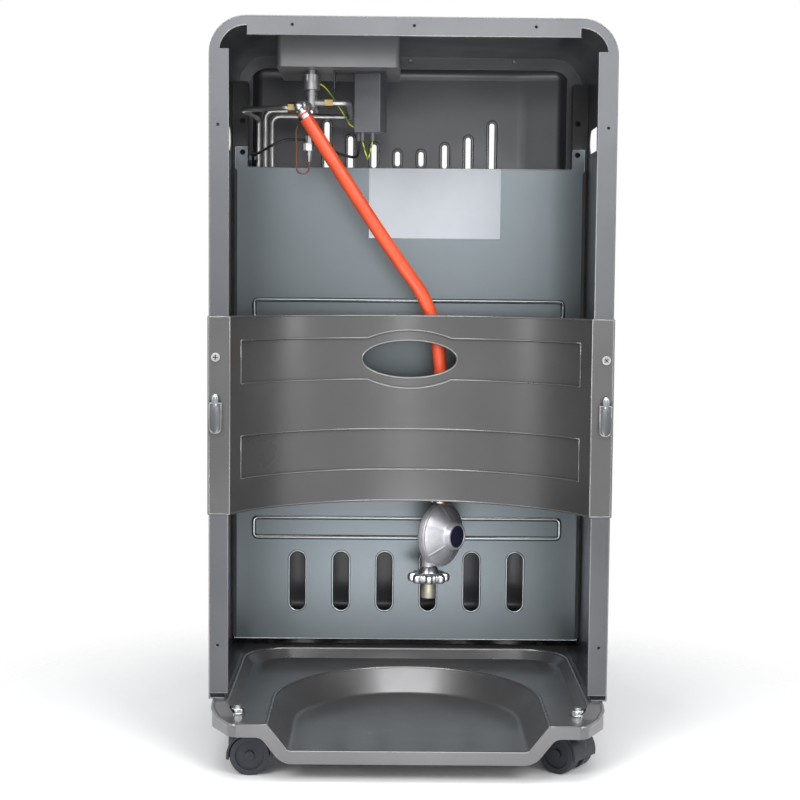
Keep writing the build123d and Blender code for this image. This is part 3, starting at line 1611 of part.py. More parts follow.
joint_axis = (joint_x, joint_depth)
joint_pieces = [
    rod(
        place(*joint_axis, joint_levels[0]),
        place(*joint_axis, joint_levels[1]),
        joint_radii[2],
        joint_radii[0],
    ),
    hexagon(place(*joint_axis, joint_levels[1]), place(*joint_axis, joint_levels[2]), nut_flats),
    rod(place(*joint_axis, joint_levels[2]), place(*joint_axis, joint_levels[3]), joint_radii[2]),
]
with BuildPart() as sensor_joint:
    add(joint_pieces)
sensor_joint.part.label = "sensor_joint"
export_step(sensor_joint.part, "parts/sensor_joint.step")

sensor_route = [place(*point) for point in lead_points]
sensor_radii = easy_radii(sensor_route)
print("sensor lead bend radii", [round(radius, 1) for radius in sensor_radii])
sensor_bar = bent_rod(sensor_route, sensor_radii, lead_diameter / 2)
with BuildPart() as sensor_lead:
    add(sensor_bar)
sensor_lead.part.label = "sensor_lead"
export_step(sensor_lead.part, "parts/sensor_lead.step")

# ---------------------------------------------------------------- ignition module

module_top = well_floor - module_plate_sheet
module_plane = Plane(
    origin=place(*module_face, module_top - module_size[2]),
    x_dir=(cos(radians(module_turn)), sin(radians(module_turn)), 0),
    z_dir=(0, 0, 1),
)


def terminal_foot(number):
    """Centre of a terminal's lower end."""
    across, behind = terminal_places[number]
    return tuple(module_plane.from_local_coords((across, behind, -terminal_length)))


with BuildPart() as ignition_module:
    with BuildSketch(module_plane):
        with Locations((0, module_size[1] / 2)):
            RectangleRounded(module_size[0], module_size[1], module_edge)
    extrude(amount=module_size[2])
    with BuildSketch(module_plane):
        with Locations(*terminal_places):
            Circle(terminal_radius)
    extrude(amount=-terminal_length)
ignition_module.part.label = "ignition_module"
export_step(ignition_module.part, "parts/ignition_module.step")

plate_left, plate_right, plate_near, plate_far = module_plate
with BuildPart() as module_bracket:
    with BuildSketch(Plane.XY.offset(module_top)):
        with Locations(place((plate_left + plate_right) / 2, (plate_near + plate_far) / 2, 0)[:2]):
            Rectangle(plate_right - plate_left, plate_far - plate_near)
    extrude(amount=module_plate_sheet)
    with BuildSketch(Plane.XY.offset(module_top - module_tab)):
        with Locations(place(plate_left + module_plate_sheet / 2, (plate_near + plate_far) / 2, 0)[:2]):
            Rectangle(module_plate_sheet, plate_far - plate_near)
    extrude(amount=module_tab)
module_bracket.part.label = "module_bracket"
export_step(module_bracket.part, "parts/module_bracket.step")

first_foot = terminal_foot(0)
second_foot = terminal_foot(1)
loop_route = [
    first_foot,
    (first_foot[0], first_foot[1], first_foot[2] - module_wire_drop),
    (second_foot[0], second_foot[1], second_foot[2] - module_wire_drop),
    second_foot,
]
wire_behind, wire_rise = valve_wire_end
valve_wire_route = [place(*point) for point in valve_wire_points] + [
    tuple(module_plane.from_local_coords((-module_size[0] / 2 - run, wire_behind, wire_rise)))
    for run in (valve_wire_run, joint_gap)
]
wire_bars = [
    bent_rod(loop_route, easy_radii(loop_route), module_wire_diameter / 2),
    bent_rod(valve_wire_route, easy_radii(valve_wire_route), module_wire_diameter / 2),
]
print("wire bend radii", [round(radius, 1) for radius in easy_radii(loop_route)])
with BuildPart() as ignition_wires:
    add(wire_bars)
ignition_wires.part.label = "ignition_wires"
export_step(ignition_wires.part, "parts/ignition_wires.step")

spark_foot = terminal_foot(2)
spark_end_x = burner_xs["left"] - housing_width / 2 - joint_gap
spark_route = [
    spark_foot,
    (spark_foot[0], spark_foot[1], spark_foot[2] - spark_first_run),
    *[place(*point) for point in spark_points],
    *[
        place(inset - half_width, pipe_line_depth + step, height)
        for inset, step, height in spark_side_points
    ],
    place(spark_end_x - spark_last_run, pipe_line_depth + spark_end_step, spark_end_z),
    place(spark_end_x, pipe_line_depth + spark_end_step, spark_end_z),
]
spark_radii = easy_radii(spark_route)
print("spark lead bend radii", [round(radius, 1) for radius in spark_radii])
spark_bar = bent_rod(spark_route, spark_radii, spark_lead_diameter / 2)
with BuildPart() as spark_lead:
    add(spark_bar)
spark_lead.part.label = "spark_lead"
export_step(spark_lead.part, "parts/spark_lead.step")

# ---------------------------------------------------------------- castors

wheel_radius = wheel_diameter / 2
hood_inner = wheel_radius + hood_clearance
hood_outer = hood_inner + hood_wall
wheel_outer = wheel_gap / 2 + wheel_width
hood_half = wheel_outer + hood_side
web_half = wheel_gap / 2 - web_gap
hub_radius = hub_diameter / 2


def wheel_disc(plane, start, end, radius):
    """Disc about a castor's axle."""
    with BuildPart() as disc:
        with BuildSketch(plane.offset(start)):
            Circle(radius)
        extrude(amount=end - start)
    return disc.part


for caster, (stem_place_x, stem_place_y) in caster_places.items():
    turn = radians(caster_turn[caster])
    axle_plane = Plane(
        origin=(
            stem_place_x + caster_trail * cos(turn),
            stem_place_y + caster_trail * sin(turn),
            wheel_radius,
        ),
        x_dir=(cos(turn), sin(turn), 0),
        z_dir=(sin(turn), -cos(turn), 0),
    )
    hood_block = wheel_disc(axle_plane, -hood_half, hood_half, hood_outer)
    wheel_spaces = [
        wheel_disc(axle_plane, side * web_half, side * (hood_half + cut_margin), hood_inner)
        for side in (-1, 1)
    ]
    with BuildPart() as caster_hood:
        add(hood_block)
        with BuildSketch(Plane.XY.offset(wheel_radius)):
            with Locations((stem_place_x, stem_place_y)):
                Circle(hub_radius)
        extrude(amount=hub_top - wheel_radius)
        add(wheel_spaces, mode=Mode.SUBTRACT)
        # The hood stops short of the floor, and a round web holds the axle.
        with BuildSketch(Plane.XY.offset(hood_foot)):
            with Locations((axle_plane.origin.X, axle_plane.origin.Y)):
                Circle(2 * hood_outer)
        extrude(amount=-hood_outer, mode=Mode.SUBTRACT)
        with BuildSketch(axle_plane.offset(-web_half)):
            Circle(hub_radius)
        extrude(amount=2 * web_half)
        with BuildSketch(axle_plane.offset(-web_half)):
            Circle(axle_diameter / 2 + axle_hold)
        extrude(amount=2 * web_half, mode=Mode.SUBTRACT)
        with BuildSketch(Plane.XY.offset(hub_bore_bottom)):
            with Locations((stem_place_x, stem_place_y)):
                Circle(stem_diameter / 2)
        extrude(amount=hub_top - hub_bore_bottom, mode=Mode.SUBTRACT)
    caster_hood.part.label = f"caster_hood_{caster}"
    export_step(caster_hood.part, f"parts/caster_hood_{caster}.step")

    with BuildPart() as caster_wheels:
        for side in (-1, 1):
            with BuildSketch(axle_plane.offset(side * wheel_gap / 2)):
                Circle(wheel_radius)
                Circle(axle_diameter / 2 + running_gap, mode=Mode.SUBTRACT)
            extrude(amount=side * wheel_width)
            with BuildSketch(axle_plane.offset(side * (wheel_outer - wheel_dish[1]))):
                Circle(wheel_dish[0])
                Circle(hub_radius / 2, mode=Mode.SUBTRACT)
            extrude(amount=side * wheel_dish[1], mode=Mode.SUBTRACT)
    caster_wheels.part.label = f"caster_wheels_{caster}"
    export_step(caster_wheels.part, f"parts/caster_wheels_{caster}.step")

    axle_bar = wheel_disc(axle_plane, -wheel_outer, wheel_outer, axle_diameter / 2)
    with BuildPart() as caster_axle:
        add(axle_bar)
    caster_axle.part.label = f"caster_axle_{caster}"
    export_step(caster_axle.part, f"parts/caster_axle_{caster}.step")

with BuildPart() as caster_stems:
    for stem_place in caster_places.values():
        for start, end, radius in (
            (hub_bore_bottom + fit_gap, hub_top + hub_axial_gap, stem_pin_diameter / 2),
            (hub_top + hub_axial_gap, platform_under, stem_collar_diameter / 2),
            (platform_under, stem_end, stem_diameter / 2),
        ):
            with BuildSketch(Plane.XY.offset(start)):
                with Locations(stem_place):
                    Circle(radius)
            extrude(amount=end - start)
caster_stems.part.label = "caster_stems"
export_step(caster_stems.part, "parts/caster_stems.step")

with BuildPart() as caster_nuts:
    with BuildSketch(Plane.XY.offset(platform_top)):
        with Locations(*caster_places.values()):
            Circle(washer_diameter / 2)
            Circle(stem_diameter / 2 + pipe_fit, mode=Mode.SUBTRACT)
    extrude(amount=washer_thickness)
    with BuildSketch(Plane.XY.offset(platform_top + washer_thickness)):
        with Locations(*caster_places.values()):
            RegularPolygon(stem_nut_flats / 2, 6, major_radius=False)
            Circle(stem_diameter / 2 + pipe_fit, mode=Mode.SUBTRACT)
    extrude(amount=stem_nut_height)
caster_nuts.part.label = "caster_nuts"
export_step(caster_nuts.part, "parts/caster_nuts.step")
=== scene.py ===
"""Looks for the portable gas cabinet heater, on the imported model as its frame. Metres, Z up."""

import json
from math import cos, exp, pi, radians, sin, sqrt

import bmesh
import bpy
from mathutils import Matrix, Vector


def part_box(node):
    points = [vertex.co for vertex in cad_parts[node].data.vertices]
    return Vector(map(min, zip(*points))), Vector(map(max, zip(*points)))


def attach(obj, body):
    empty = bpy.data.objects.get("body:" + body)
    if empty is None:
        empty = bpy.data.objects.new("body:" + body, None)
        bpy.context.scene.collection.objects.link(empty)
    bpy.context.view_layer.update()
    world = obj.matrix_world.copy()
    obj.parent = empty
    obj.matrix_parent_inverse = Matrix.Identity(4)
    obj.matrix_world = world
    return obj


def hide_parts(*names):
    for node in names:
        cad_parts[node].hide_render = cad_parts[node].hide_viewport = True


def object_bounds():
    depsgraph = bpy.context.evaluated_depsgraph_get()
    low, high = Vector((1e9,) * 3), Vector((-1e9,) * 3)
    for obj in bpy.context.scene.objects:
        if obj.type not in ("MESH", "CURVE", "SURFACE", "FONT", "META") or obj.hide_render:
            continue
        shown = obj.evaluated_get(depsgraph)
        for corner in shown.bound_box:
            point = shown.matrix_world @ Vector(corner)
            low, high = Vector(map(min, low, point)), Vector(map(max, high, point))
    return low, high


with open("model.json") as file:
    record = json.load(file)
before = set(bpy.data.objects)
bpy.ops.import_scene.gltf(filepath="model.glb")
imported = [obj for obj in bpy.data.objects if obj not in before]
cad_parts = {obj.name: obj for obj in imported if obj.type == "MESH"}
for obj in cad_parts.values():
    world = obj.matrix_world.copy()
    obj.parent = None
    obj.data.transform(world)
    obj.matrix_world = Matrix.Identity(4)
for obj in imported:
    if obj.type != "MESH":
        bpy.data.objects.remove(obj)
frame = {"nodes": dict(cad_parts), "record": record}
cad_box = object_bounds()
nodes = frame["nodes"]
slots = {entry["node"]: entry["material_slot"] for entry in frame["record"]["subparts"]}

# Y of the cabinet's rear face, which is the side of the bottle bay.
rear = -0.1408


def spot(x, depth, z):
    """Point given in millimetres, with its distance in front of the cabinet's rear face."""
    return (x / 1000, rear + depth / 1000, z / 1000)


def add_object(name, data):
    """Object of that name and data, put in the scene."""
    thing = bpy.data.objects.new(name, data)
    bpy.context.collection.objects.link(thing)
    return thing


# ---------------------------------------------------------------- camera

photo_width = 800
focal_pixels = 1637.6
sensor_width = 36.0
camera_place = (-0.0236, -1.7004 + rear, 0.5207)
yaw, pitch, roll = radians(0.42), radians(4.44), radians(0.53)

camera_data = bpy.data.cameras.new("camera")
camera = add_object("camera", camera_data)
camera_data.sensor_width = sensor_width
camera_data.sensor_fit = "HORIZONTAL"
camera_data.lens = focal_pixels / photo_width * sensor_width
camera_data.clip_end = 50.0
forward = Vector((sin(yaw) * cos(pitch), cos(yaw) * cos(pitch), -sin(pitch)))
level = Vector((cos(yaw), -sin(yaw), 0))
upward = level.cross(forward)
right = level * cos(roll) + upward * sin(roll)
top = upward * cos(roll) - level * sin(roll)
turn = Matrix((right, top, -forward)).transposed().to_4x4()
camera.matrix_world = Matrix.Translation(camera_place) @ turn
bpy.context.scene.camera = camera

# ---------------------------------------------------------------- meshes, tubes and turned pieces

smooth_limit = radians(38)


def finished_mesh(name, build, smooth=True):
    """Mesh taken from the bmesh, which is freed."""
    mesh = bpy.data.meshes.new(name)
    build.to_mesh(mesh)
    build.free()
    if smooth:
        mesh.polygons.foreach_set("use_smooth", [True] * len(mesh.polygons))
    return mesh


def tube(name, facets):
    """Curve whose points carry the tube's radius in metres."""
    data = bpy.data.curves.new(name, "CURVE")
    data.dimensions = "3D"
    data.bevel_depth = 1.0
    data.bevel_resolution = facets
    return data


def add_spline(data, kind, places, radius, closed=False):
    """Spline of a tube along the places, all of it of one radius."""
    spline = data.splines.new(kind)
    spline.points.add(len(places) - 1)
    for point, place in zip(spline.points, places):
        point.co = (*place, 1.0)
        point.radius = radius
    spline.use_cyclic_u = closed
    return spline


def line(name, points, diameter, body="heater"):
    """Smooth round cord along control points."""
    data = tube(name, 6)
    data.resolution_u = 12
    data.use_fill_caps = True
    spline = add_spline(data, "NURBS", points, diameter / 2)
    spline.order_u = 3
    spline.use_endpoint_u = True
    cord = add_object(name, data)
    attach(cord, body)
    return cord


def lathe(name, base, axis, outline, body="heater", sides=128, shape=None):
    """Piece turned about an axis, from (distance, radius) pairs in millimetres.

    Where shape is given, it turns (angle, distance, radius) into the radius there.
    """
    axis = Vector(axis).normalized()
    across = axis.orthogonal().normalized()
    beside = axis.cross(across)
    build = bmesh.new()
    rings = []
    for distance, radius in outline:
        ring = []
        for number in range(sides):
            angle = 2 * pi * number / sides
            reach = (shape(angle, distance, radius) if shape else radius) / 1000
            out = across * cos(angle) + beside * sin(angle)
            ring.append(build.verts.new(Vector(base) + axis * distance / 1000 + out * reach))
        rings.append(ring)
    for low, high in zip(rings, rings[1:]):
        for number in range(sides):
            after = (number + 1) % sides
            build.faces.new((low[number], low[after], high[after], high[number]))
    bmesh.ops.remove_doubles(build, verts=build.verts, dist=1e-7)
    bmesh.ops.recalc_face_normals(build, faces=build.faces)
    mesh = finished_mesh(name, build)
    mesh.set_sharp_from_angle(angle=smooth_limit)
    piece = add_object(name, mesh)
    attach(piece, body)
    return piece


def off_middle(angle, count):
    """Angle from the middle of the nearest of count equal sectors."""
    step = 2 * pi / count
    return (angle + step / 2) % step - step / 2


# ---------------------------------------------------------------- hose

hose_route = [
    spot(-118.6, 97.6, 692.6),
    spot(-67.9, 104.0, 613.6),
    spot(-12.7, 117.0, 532.8),
    spot(21.0, 128.0, 488.0),
    spot(35.5, 134.0, 427.0),
    spot(36.5, 146.0, 350.0),
    spot(37.0, 161.0, 298.0),
    spot(37.0, 163.0, 257.0),
]
hose = line("hose_line", hose_route, diameter=0.015)
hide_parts("gas_hose")

# ---------------------------------------------------------------- leads of the ignition module

module_foot = spot(-49.6, 122.0, 675.0)
module_turn = radians(-20)
wire_diameter = 0.0015


def module_spot(across, behind, rise):
    """Point in millimetres from the foot of the module's middle, along and square to its face."""
    x, y, z = module_foot
    return (
        x + (across * cos(module_turn) - behind * sin(module_turn)) / 1000,
        y + (across * sin(module_turn) + behind * cos(module_turn)) / 1000,
        z + rise / 1000,
    )


earth_route = [
    module_spot(-6, 3, -8.5),
    module_spot(-5.5, 3, -13),
    module_spot(-1.2, 4, -27),
    module_spot(0, 4, -30),
    module_spot(1.2, 4, -27),
    module_spot(5.5, 3, -13),
    module_spot(6, 3, -8.5),
]
valve_route = [
    spot(-101.25, 115, 726),
    spot(-95.5, 115.5, 724),
    spot(-84, 120, 708),
    spot(-74, 124.5, 693),
    module_spot(-22, 6, 7),
    module_spot(-15.5, 6, 6),
]
wires = [
    line("earth_wire", earth_route, wire_diameter),
    line("valve_wire", valve_route, wire_diameter),
]
for wire in wires:
    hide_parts("ignition_wires")

# ---------------------------------------------------------------- regulator's cover

cover_lean = radians(50)
cover_axis = (sin(cover_lean), -cos(cover_lean), 0)
cover_seam = spot(38.5, 160, 222)
rib_count = 6
rib_height = 0.9
rib_width = 1.1
cone_start, cone_end = 4.2, 17.0
cover_outline = [
    (0, 0), (0, 36.1), (0.4, 36.5), (2.9, 36.5), (3.6, 36.1), (3.9, 35.3), (4.0, 34.6), (4.6, 34.1),
    (6.0, 32.6), (8.0, 30.1), (10.0, 27.3), (12.0, 24.3), (14.0, 21.1), (15.4, 18.8), (16.4, 17.3),
    (17.2, 16.4), (18.2, 15.8), (22.8, 15.5), (23.6, 15.1), (24.0, 14.2), (23.9, 13.0), (23.4, 12.6),
    (22.2, 12.55), (22.2, 0),
]


def cone_ribs(angle, distance, radius):
    """Radius of the regulator's cover with its cast ribs."""
    if not cone_start < distance < cone_end:
        return radius
    sideways = off_middle(angle, rib_count) * radius
    return radius + rib_height * exp(-((sideways / rib_width) ** 2))


dial_cover = lathe("dial_cover", cover_seam, cover_axis, cover_outline, sides=288, shape=cone_ribs)
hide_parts("regulator_cover")

# ---------------------------------------------------------------- regulator's hand wheel

lobe_count = 8
lobe_reach = 19.6
lobe_radius = 4.9
valley_radius = 18.6
wheel_hub_radius = 14.0
wheel_outline = [
    (0, 5.4), (0, 19.5), (0.6, 21.9), (1.7, 23.4), (3.2, 24.2), (5.5, 24.5), (7.6, 24.2), (9.2, 23.4),
    (10.3, 21.9), (10.9, 19.5), (10.9, 15.0), (11.2, 12.8), (12.4, 12.1), (17.2, 9.4), (18.0, 8.7),
    (18.0, 5.4), (0, 5.4),
]


def lobed(angle, distance, radius):
    """Radius of the hand wheel: its lobes stand round a smaller ring."""
    if radius < wheel_hub_radius:
        return radius
    aside = off_middle(angle, lobe_count)
    sideways = lobe_reach * sin(aside)
    lobe = 0.0
    if abs(sideways) < lobe_radius:
        lobe = lobe_reach * cos(aside) + sqrt(lobe_radius**2 - sideways**2)
    return max(valley_radius, lobe) - (lobe_reach + lobe_radius - radius)


nut_low, nut_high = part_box("regulator_nut")
wheel_foot = ((nut_low.x + nut_high.x) / 2, (nut_low.y + nut_high.y) / 2, nut_low.z)
handwheel = lathe(
    "handwheel", wheel_foot, (0, 0, 1), wheel_outline, body="handwheel", sides=240, shape=lobed
)
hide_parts("regulator_nut")

# ---------------------------------------------------------------- hose clamps

clamp_ear_out = 0.0087
clamp_outline = [
    (1.5, 7.45), (1.5, 8.0), (1.9, 8.35), (5.6, 8.35), (6.0, 8.0), (6.0, 7.45), (1.5, 7.45),
]
clamp_ear_outline = [(1.9, 0), (1.9, 1.5), (2.2, 1.8), (5.3, 1.8), (5.6, 1.5), (5.6, 0)]


def hose_clamp(name, node, start, toward):
    """Narrow band pinched round the hose, with its ear, a little way in from the hose's end."""
    start, toward = Vector(start), Vector(toward)
    run = (toward - start).normalized()
    side = run.cross(Vector((0, 1, 0))).normalized()
    band = lathe(name, start, run, clamp_outline)
    ear = lathe(name + "_ear", start + side * clamp_ear_out, run, clamp_ear_outline, sides=24)
    for piece in (band, ear):
        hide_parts(node)
    return [band, ear]


clamps = hose_clamp("clamp_upper", "hose_clamp_upper", hose_route[0], hose_route[1])
clamps += hose_clamp("clamp_lower", "hose_clamp_lower", hose_route[-1], hose_route[-2])

# ---------------------------------------------------------------- castor nuts

nut_half_flats = 6.5
flange_top = 1.7
bore_limit = 5.5
stem_nut_outline = [
    (0, 4.1), (0, 7.5), (0.5, 7.95), (1.1, 8.0), (1.5, 7.7), (1.7, 7.15), (4.8, 7.15), (5.7, 6.7),
    (6.3, 6.1), (6.6, 5.2), (6.6, 4.1), (0, 4.1),
]
caster_places = {
    "rear_left": (-0.178, -0.1578),
    "rear_right": (0.178, -0.1578),
    "front_left": (-0.165, 0.1412),
    "front_right": (0.165, 0.1412),
}


def six_flats(angle, distance, radius):
    """Radius of a castor nut: six flats above its round flange."""
    if distance < flange_top or radius < bore_limit:
        return radius
    return min(radius, nut_half_flats / cos(off_middle(angle, 6)))


nut_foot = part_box("caster_nuts")[0].z
stem_nuts = []
for word, place in caster_places.items():
    nut = lathe("stem_nut_" + word, (*place, nut_foot), (0, 0, 1), stem_nut_outline, shape=six_flats)
    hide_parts("caster_nuts")
    stem_nuts.append(nut)

# ---------------------------------------------------------------- hooks and screws of the band

hook_x = 0.203
pocket_z = 0.3675
pocket_reach = (0.0060, 0.0014, 0.0150)
tongue_foot = 0.3795
tongue_sunk = 0.0030
tongue_outline = [
    (0, 0), (0.4, 1.8), (1.2, 3.0), (2.4, 3.8), (4.2, 4.2), (11.0, 4.2), (12.8, 3.8), (14.0, 3.0),
    (14.8, 1.8), (15.2, 0),
]
screw_z = 0.4317
recess_size = (0.0054, 0.0004, 0.0010)
hook_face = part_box("rear_band")[0].y
screw_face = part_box("sheet_screws")[0].y


def swelling(name, centre, reach):
    """Rounded pressing, half of it sunk in what carries it."""
    build = bmesh.new()
    shape = Matrix.Translation(centre) @ Matrix.Diagonal((*reach, 1.0))
    bmesh.ops.create_uvsphere(build, u_segments=48, v_segments=32, radius=1.0, matrix=shape)
    piece = add_object(name, finished_mesh(name, build))
    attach(piece, "heater")
    return piece


def cross_recess(name, centre, lean):
    """Cross recess of a screw: two dark bars across its head, leaning by some degrees; their darkness
    is painted shade of the recess.
    """
    build = bmesh.new()
    for turned in (0, 90):
        bar_turn = Matrix.Rotation(radians(lean + turned), 4, "Y")
        shape = Matrix.Translation(centre) @ bar_turn @ Matrix.Diagonal((*recess_size, 1.0))
        bmesh.ops.create_cube(build, size=1.0, matrix=shape)
    piece = add_object(name, finished_mesh(name, build, smooth=False))
    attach(piece, "heater")
    return piece


pockets, tongues, recesses = [], [], []
for word, x, lean in (("left", -hook_x, 12), ("right", hook_x, 45)):
    pocket = swelling("hook_pocket_" + word, (x, hook_face, pocket_z), pocket_reach)
    tongue_base = (x, hook_face + tongue_sunk, tongue_foot)
    tongue = lathe("hook_tongue_" + word, tongue_base, (0, 0, 1), tongue_outline, sides=64)
    pockets.append(pocket)
    tongues.append(tongue)
    recesses.append(cross_recess("screw_recess_" + word, (x, screw_face, screw_z), lean))

# ---------------------------------------------------------------- dark strips beside the shield: painted shade

shield_low, shield_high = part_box("heat_shield")
strip_out = 0.0016
strip_width = 0.0042
strip_thickness = 0.0012
# Share of that thickness which the strip fills, so that it stops short of the shield.
strip_fill = 0.9
strip_slant = 0.005
strip_foot = shield_low.z + 0.002
strip_head = shield_low.z + 0.563


def shield_shade_strip(name, side):
    """Flat dark strip beside the shield, its upper end cut at a slant: painted shade of the gap there.
    """
    outer = side * (shield_high.x + strip_out)
    inner = outer - side * strip_width
    corners = [
        (inner, strip_foot), (outer, strip_foot), (outer, strip_head), (inner, strip_head - strip_slant),
    ]
    face_depth = shield_low.y - strip_thickness
    build = bmesh.new()
    strip = build.faces.new([build.verts.new((x, face_depth, z)) for x, z in corners])
    grown = bmesh.ops.extrude_face_region(build, geom=[strip])["geom"]
    lifted = [item for item in grown if isinstance(item, bmesh.types.BMVert)]
    bmesh.ops.translate(build, verts=lifted, vec=(0, strip_thickness * strip_fill, 0))
    bmesh.ops.recalc_face_normals(build, faces=build.faces)
    bmesh.ops.bevel(build, geom=build.edges[:], offset=0.0003, segments=2, affect="EDGES")
    shade_piece = add_object(name, finished_mesh(name, build, smooth=False))
    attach(shade_piece, "heater")
    return shade_piece


shade_strips = [shield_shade_strip("shield_seal_left", -1), shield_shade_strip("shield_seal_right", 1)]

# ---------------------------------------------------------------- rims on the shield

rim_steps = 8
# How far the middle of a rim lies in the sheet, as a share of the rim's radius.
rim_sink = 0.5
slot_count = 6
slot_pitch = 52.2
slot_ends = (115.2, 187.7)
slot_rim = {"width": 20.4, "corner": 10.2, "radius": 1.4}
bead_ends = {"upper": (466.0, 488.0), "lower": (204.0, 228.0)}
bead_rim = {"width": 366.0, "corner": 5.0, "radius": 2.9}


def pressed_rim(name, x, ends, width, corner, radius):
    """Raised rim pressed round a slot or a bead of the shield, in millimetres; ends are heights."""
    low, high = ends
    depth = shield_low.y + radius * rim_sink / 1000
    places = []
    for quarter, (across, rise) in enumerate(((1, 1), (-1, 1), (-1, -1), (1, -1))):
        corner_x = x + across * (width / 2 - corner)
        corner_z = (low + high) / 2 + rise * ((high - low) / 2 - corner)
        for step in range(rim_steps + 1):
            angle = radians(90 * (quarter + step / rim_steps))
            along, height = corner_x + corner * cos(angle), corner_z + corner * sin(angle)
            places.append((along / 1000, depth, height / 1000))
    data = tube(name, 3)
    add_spline(data, "POLY", places, radius / 1000, closed=True)
    rim = add_object(name, data)
    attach(rim, "heater")
    return rim


rims = []
for number in range(slot_count):
    x = (number - (slot_count - 1) / 2) * slot_pitch
    rims.append(pressed_rim(f"slot_rim_{number}", x, slot_ends, **slot_rim))
for word, ends in bead_ends.items():
    rims.append(pressed_rim("bead_rim_" + word, 0, ends, **bead_rim))

# ---------------------------------------------------------------- rolled edges

# How far the middle of a bead lies in the fold, as a share of the bead's radius.
edge_sink = 0.75
sharp_fold = radians(30)
shortest_bead = 0.03
flange_reach = 0.004
panel_low = 0.5


def chains(links):
    """Open and closed runs of points, from a dictionary of each point's neighbours."""
    runs = []
    left = {point: list(others) for point, others in links.items()}
    ends = [point for point, others in links.items() if len(others) != 2]
    for start in ends + list(links):
        while left[start]:
            run = [start]
            here = left[start].pop()
            left[here].remove(start)
            while True:
                run.append(here)
                if len(links[here]) != 2 or not left[here]:
                    break
                after = left[here].pop()
                left[after].remove(here)
                here = after
            runs.append(run)
    return runs


def inside_cad(place, radius):
    """Nearest place at which a bead of that radius stays within the CAD box."""
    low, high = cad_box
    return Vector(
        max(least + radius, min(most - radius, value)) for value, least, most in zip(place, low, high)
    )


def rolled_edges(name, node, radius, shows):
    """Fine rounded beads along the sharp outer folds of a sheet node, as pressing leaves them.

    A fold gets its bead where shows(middle, outward) says so.
    """
    build = bmesh.new()
    build.from_mesh(nodes[node].data)
    bmesh.ops.remove_doubles(build, verts=build.verts, dist=1e-5)
    build.verts.index_update()
    outward, links = {}, {}
    for fold in build.edges:
        if len(fold.link_faces) != 2 or not fold.is_convex or fold.calc_face_angle(0) < sharp_fold:
            continue
        out = (fold.link_faces[0].normal + fold.link_faces[1].normal).normalized()
        start, end = fold.verts
        if not shows((start.co + end.co) / 2, out):
            continue
        for first, second in ((start, end), (end, start)):
            outward[first.index] = outward.get(first.index, Vector()) + out
            links.setdefault(first.index, []).append(second.index)
    build.verts.ensure_lookup_table()
    data = tube(name, 2)
    data.use_fill_caps = True
    for run in chains(links):
        places = []
        for index in run:
            sunk = build.verts[index].co - outward[index].normalized() * radius * edge_sink
            places.append(inside_cad(sunk, radius))
        if sum((b - a).length for a, b in zip(places, places[1:])) < shortest_bead:
            continue
        closed = run[0] == run[-1]
        if closed:
            places.pop()
        add_spline(data, "POLY", places, radius, closed)
    build.free()
    bead = add_object(name, data)
    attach(bead, "heater")
    return bead


folds = {
    "band_edges": ("rear_band", 0.0013, lambda middle, out: out.y < -0.2),
    "tray_edges": ("base_tray", 0.0023, lambda middle, out: out.z > 0.2),
    "cabinet_edges": (
        "cabinet_shell", 0.0009, lambda middle, out: middle.y < rear + flange_reach and out.y < -0.2
    ),
    "panel_edges": ("front_panel", 0.0022, lambda middle, out: middle.z > panel_low and out.y < -0.2),
    "shield_edges": ("heat_shield", 0.0008, lambda middle, out: out.y < -0.3),
}
rolled = {name: rolled_edges(name, *how) for name, how in folds.items()}

# ---------------------------------------------------------------- materials


def shade(colour, share):
    """Colour made darker or lighter by a share."""
    return tuple(min(1.0, channel * share) for channel in colour)


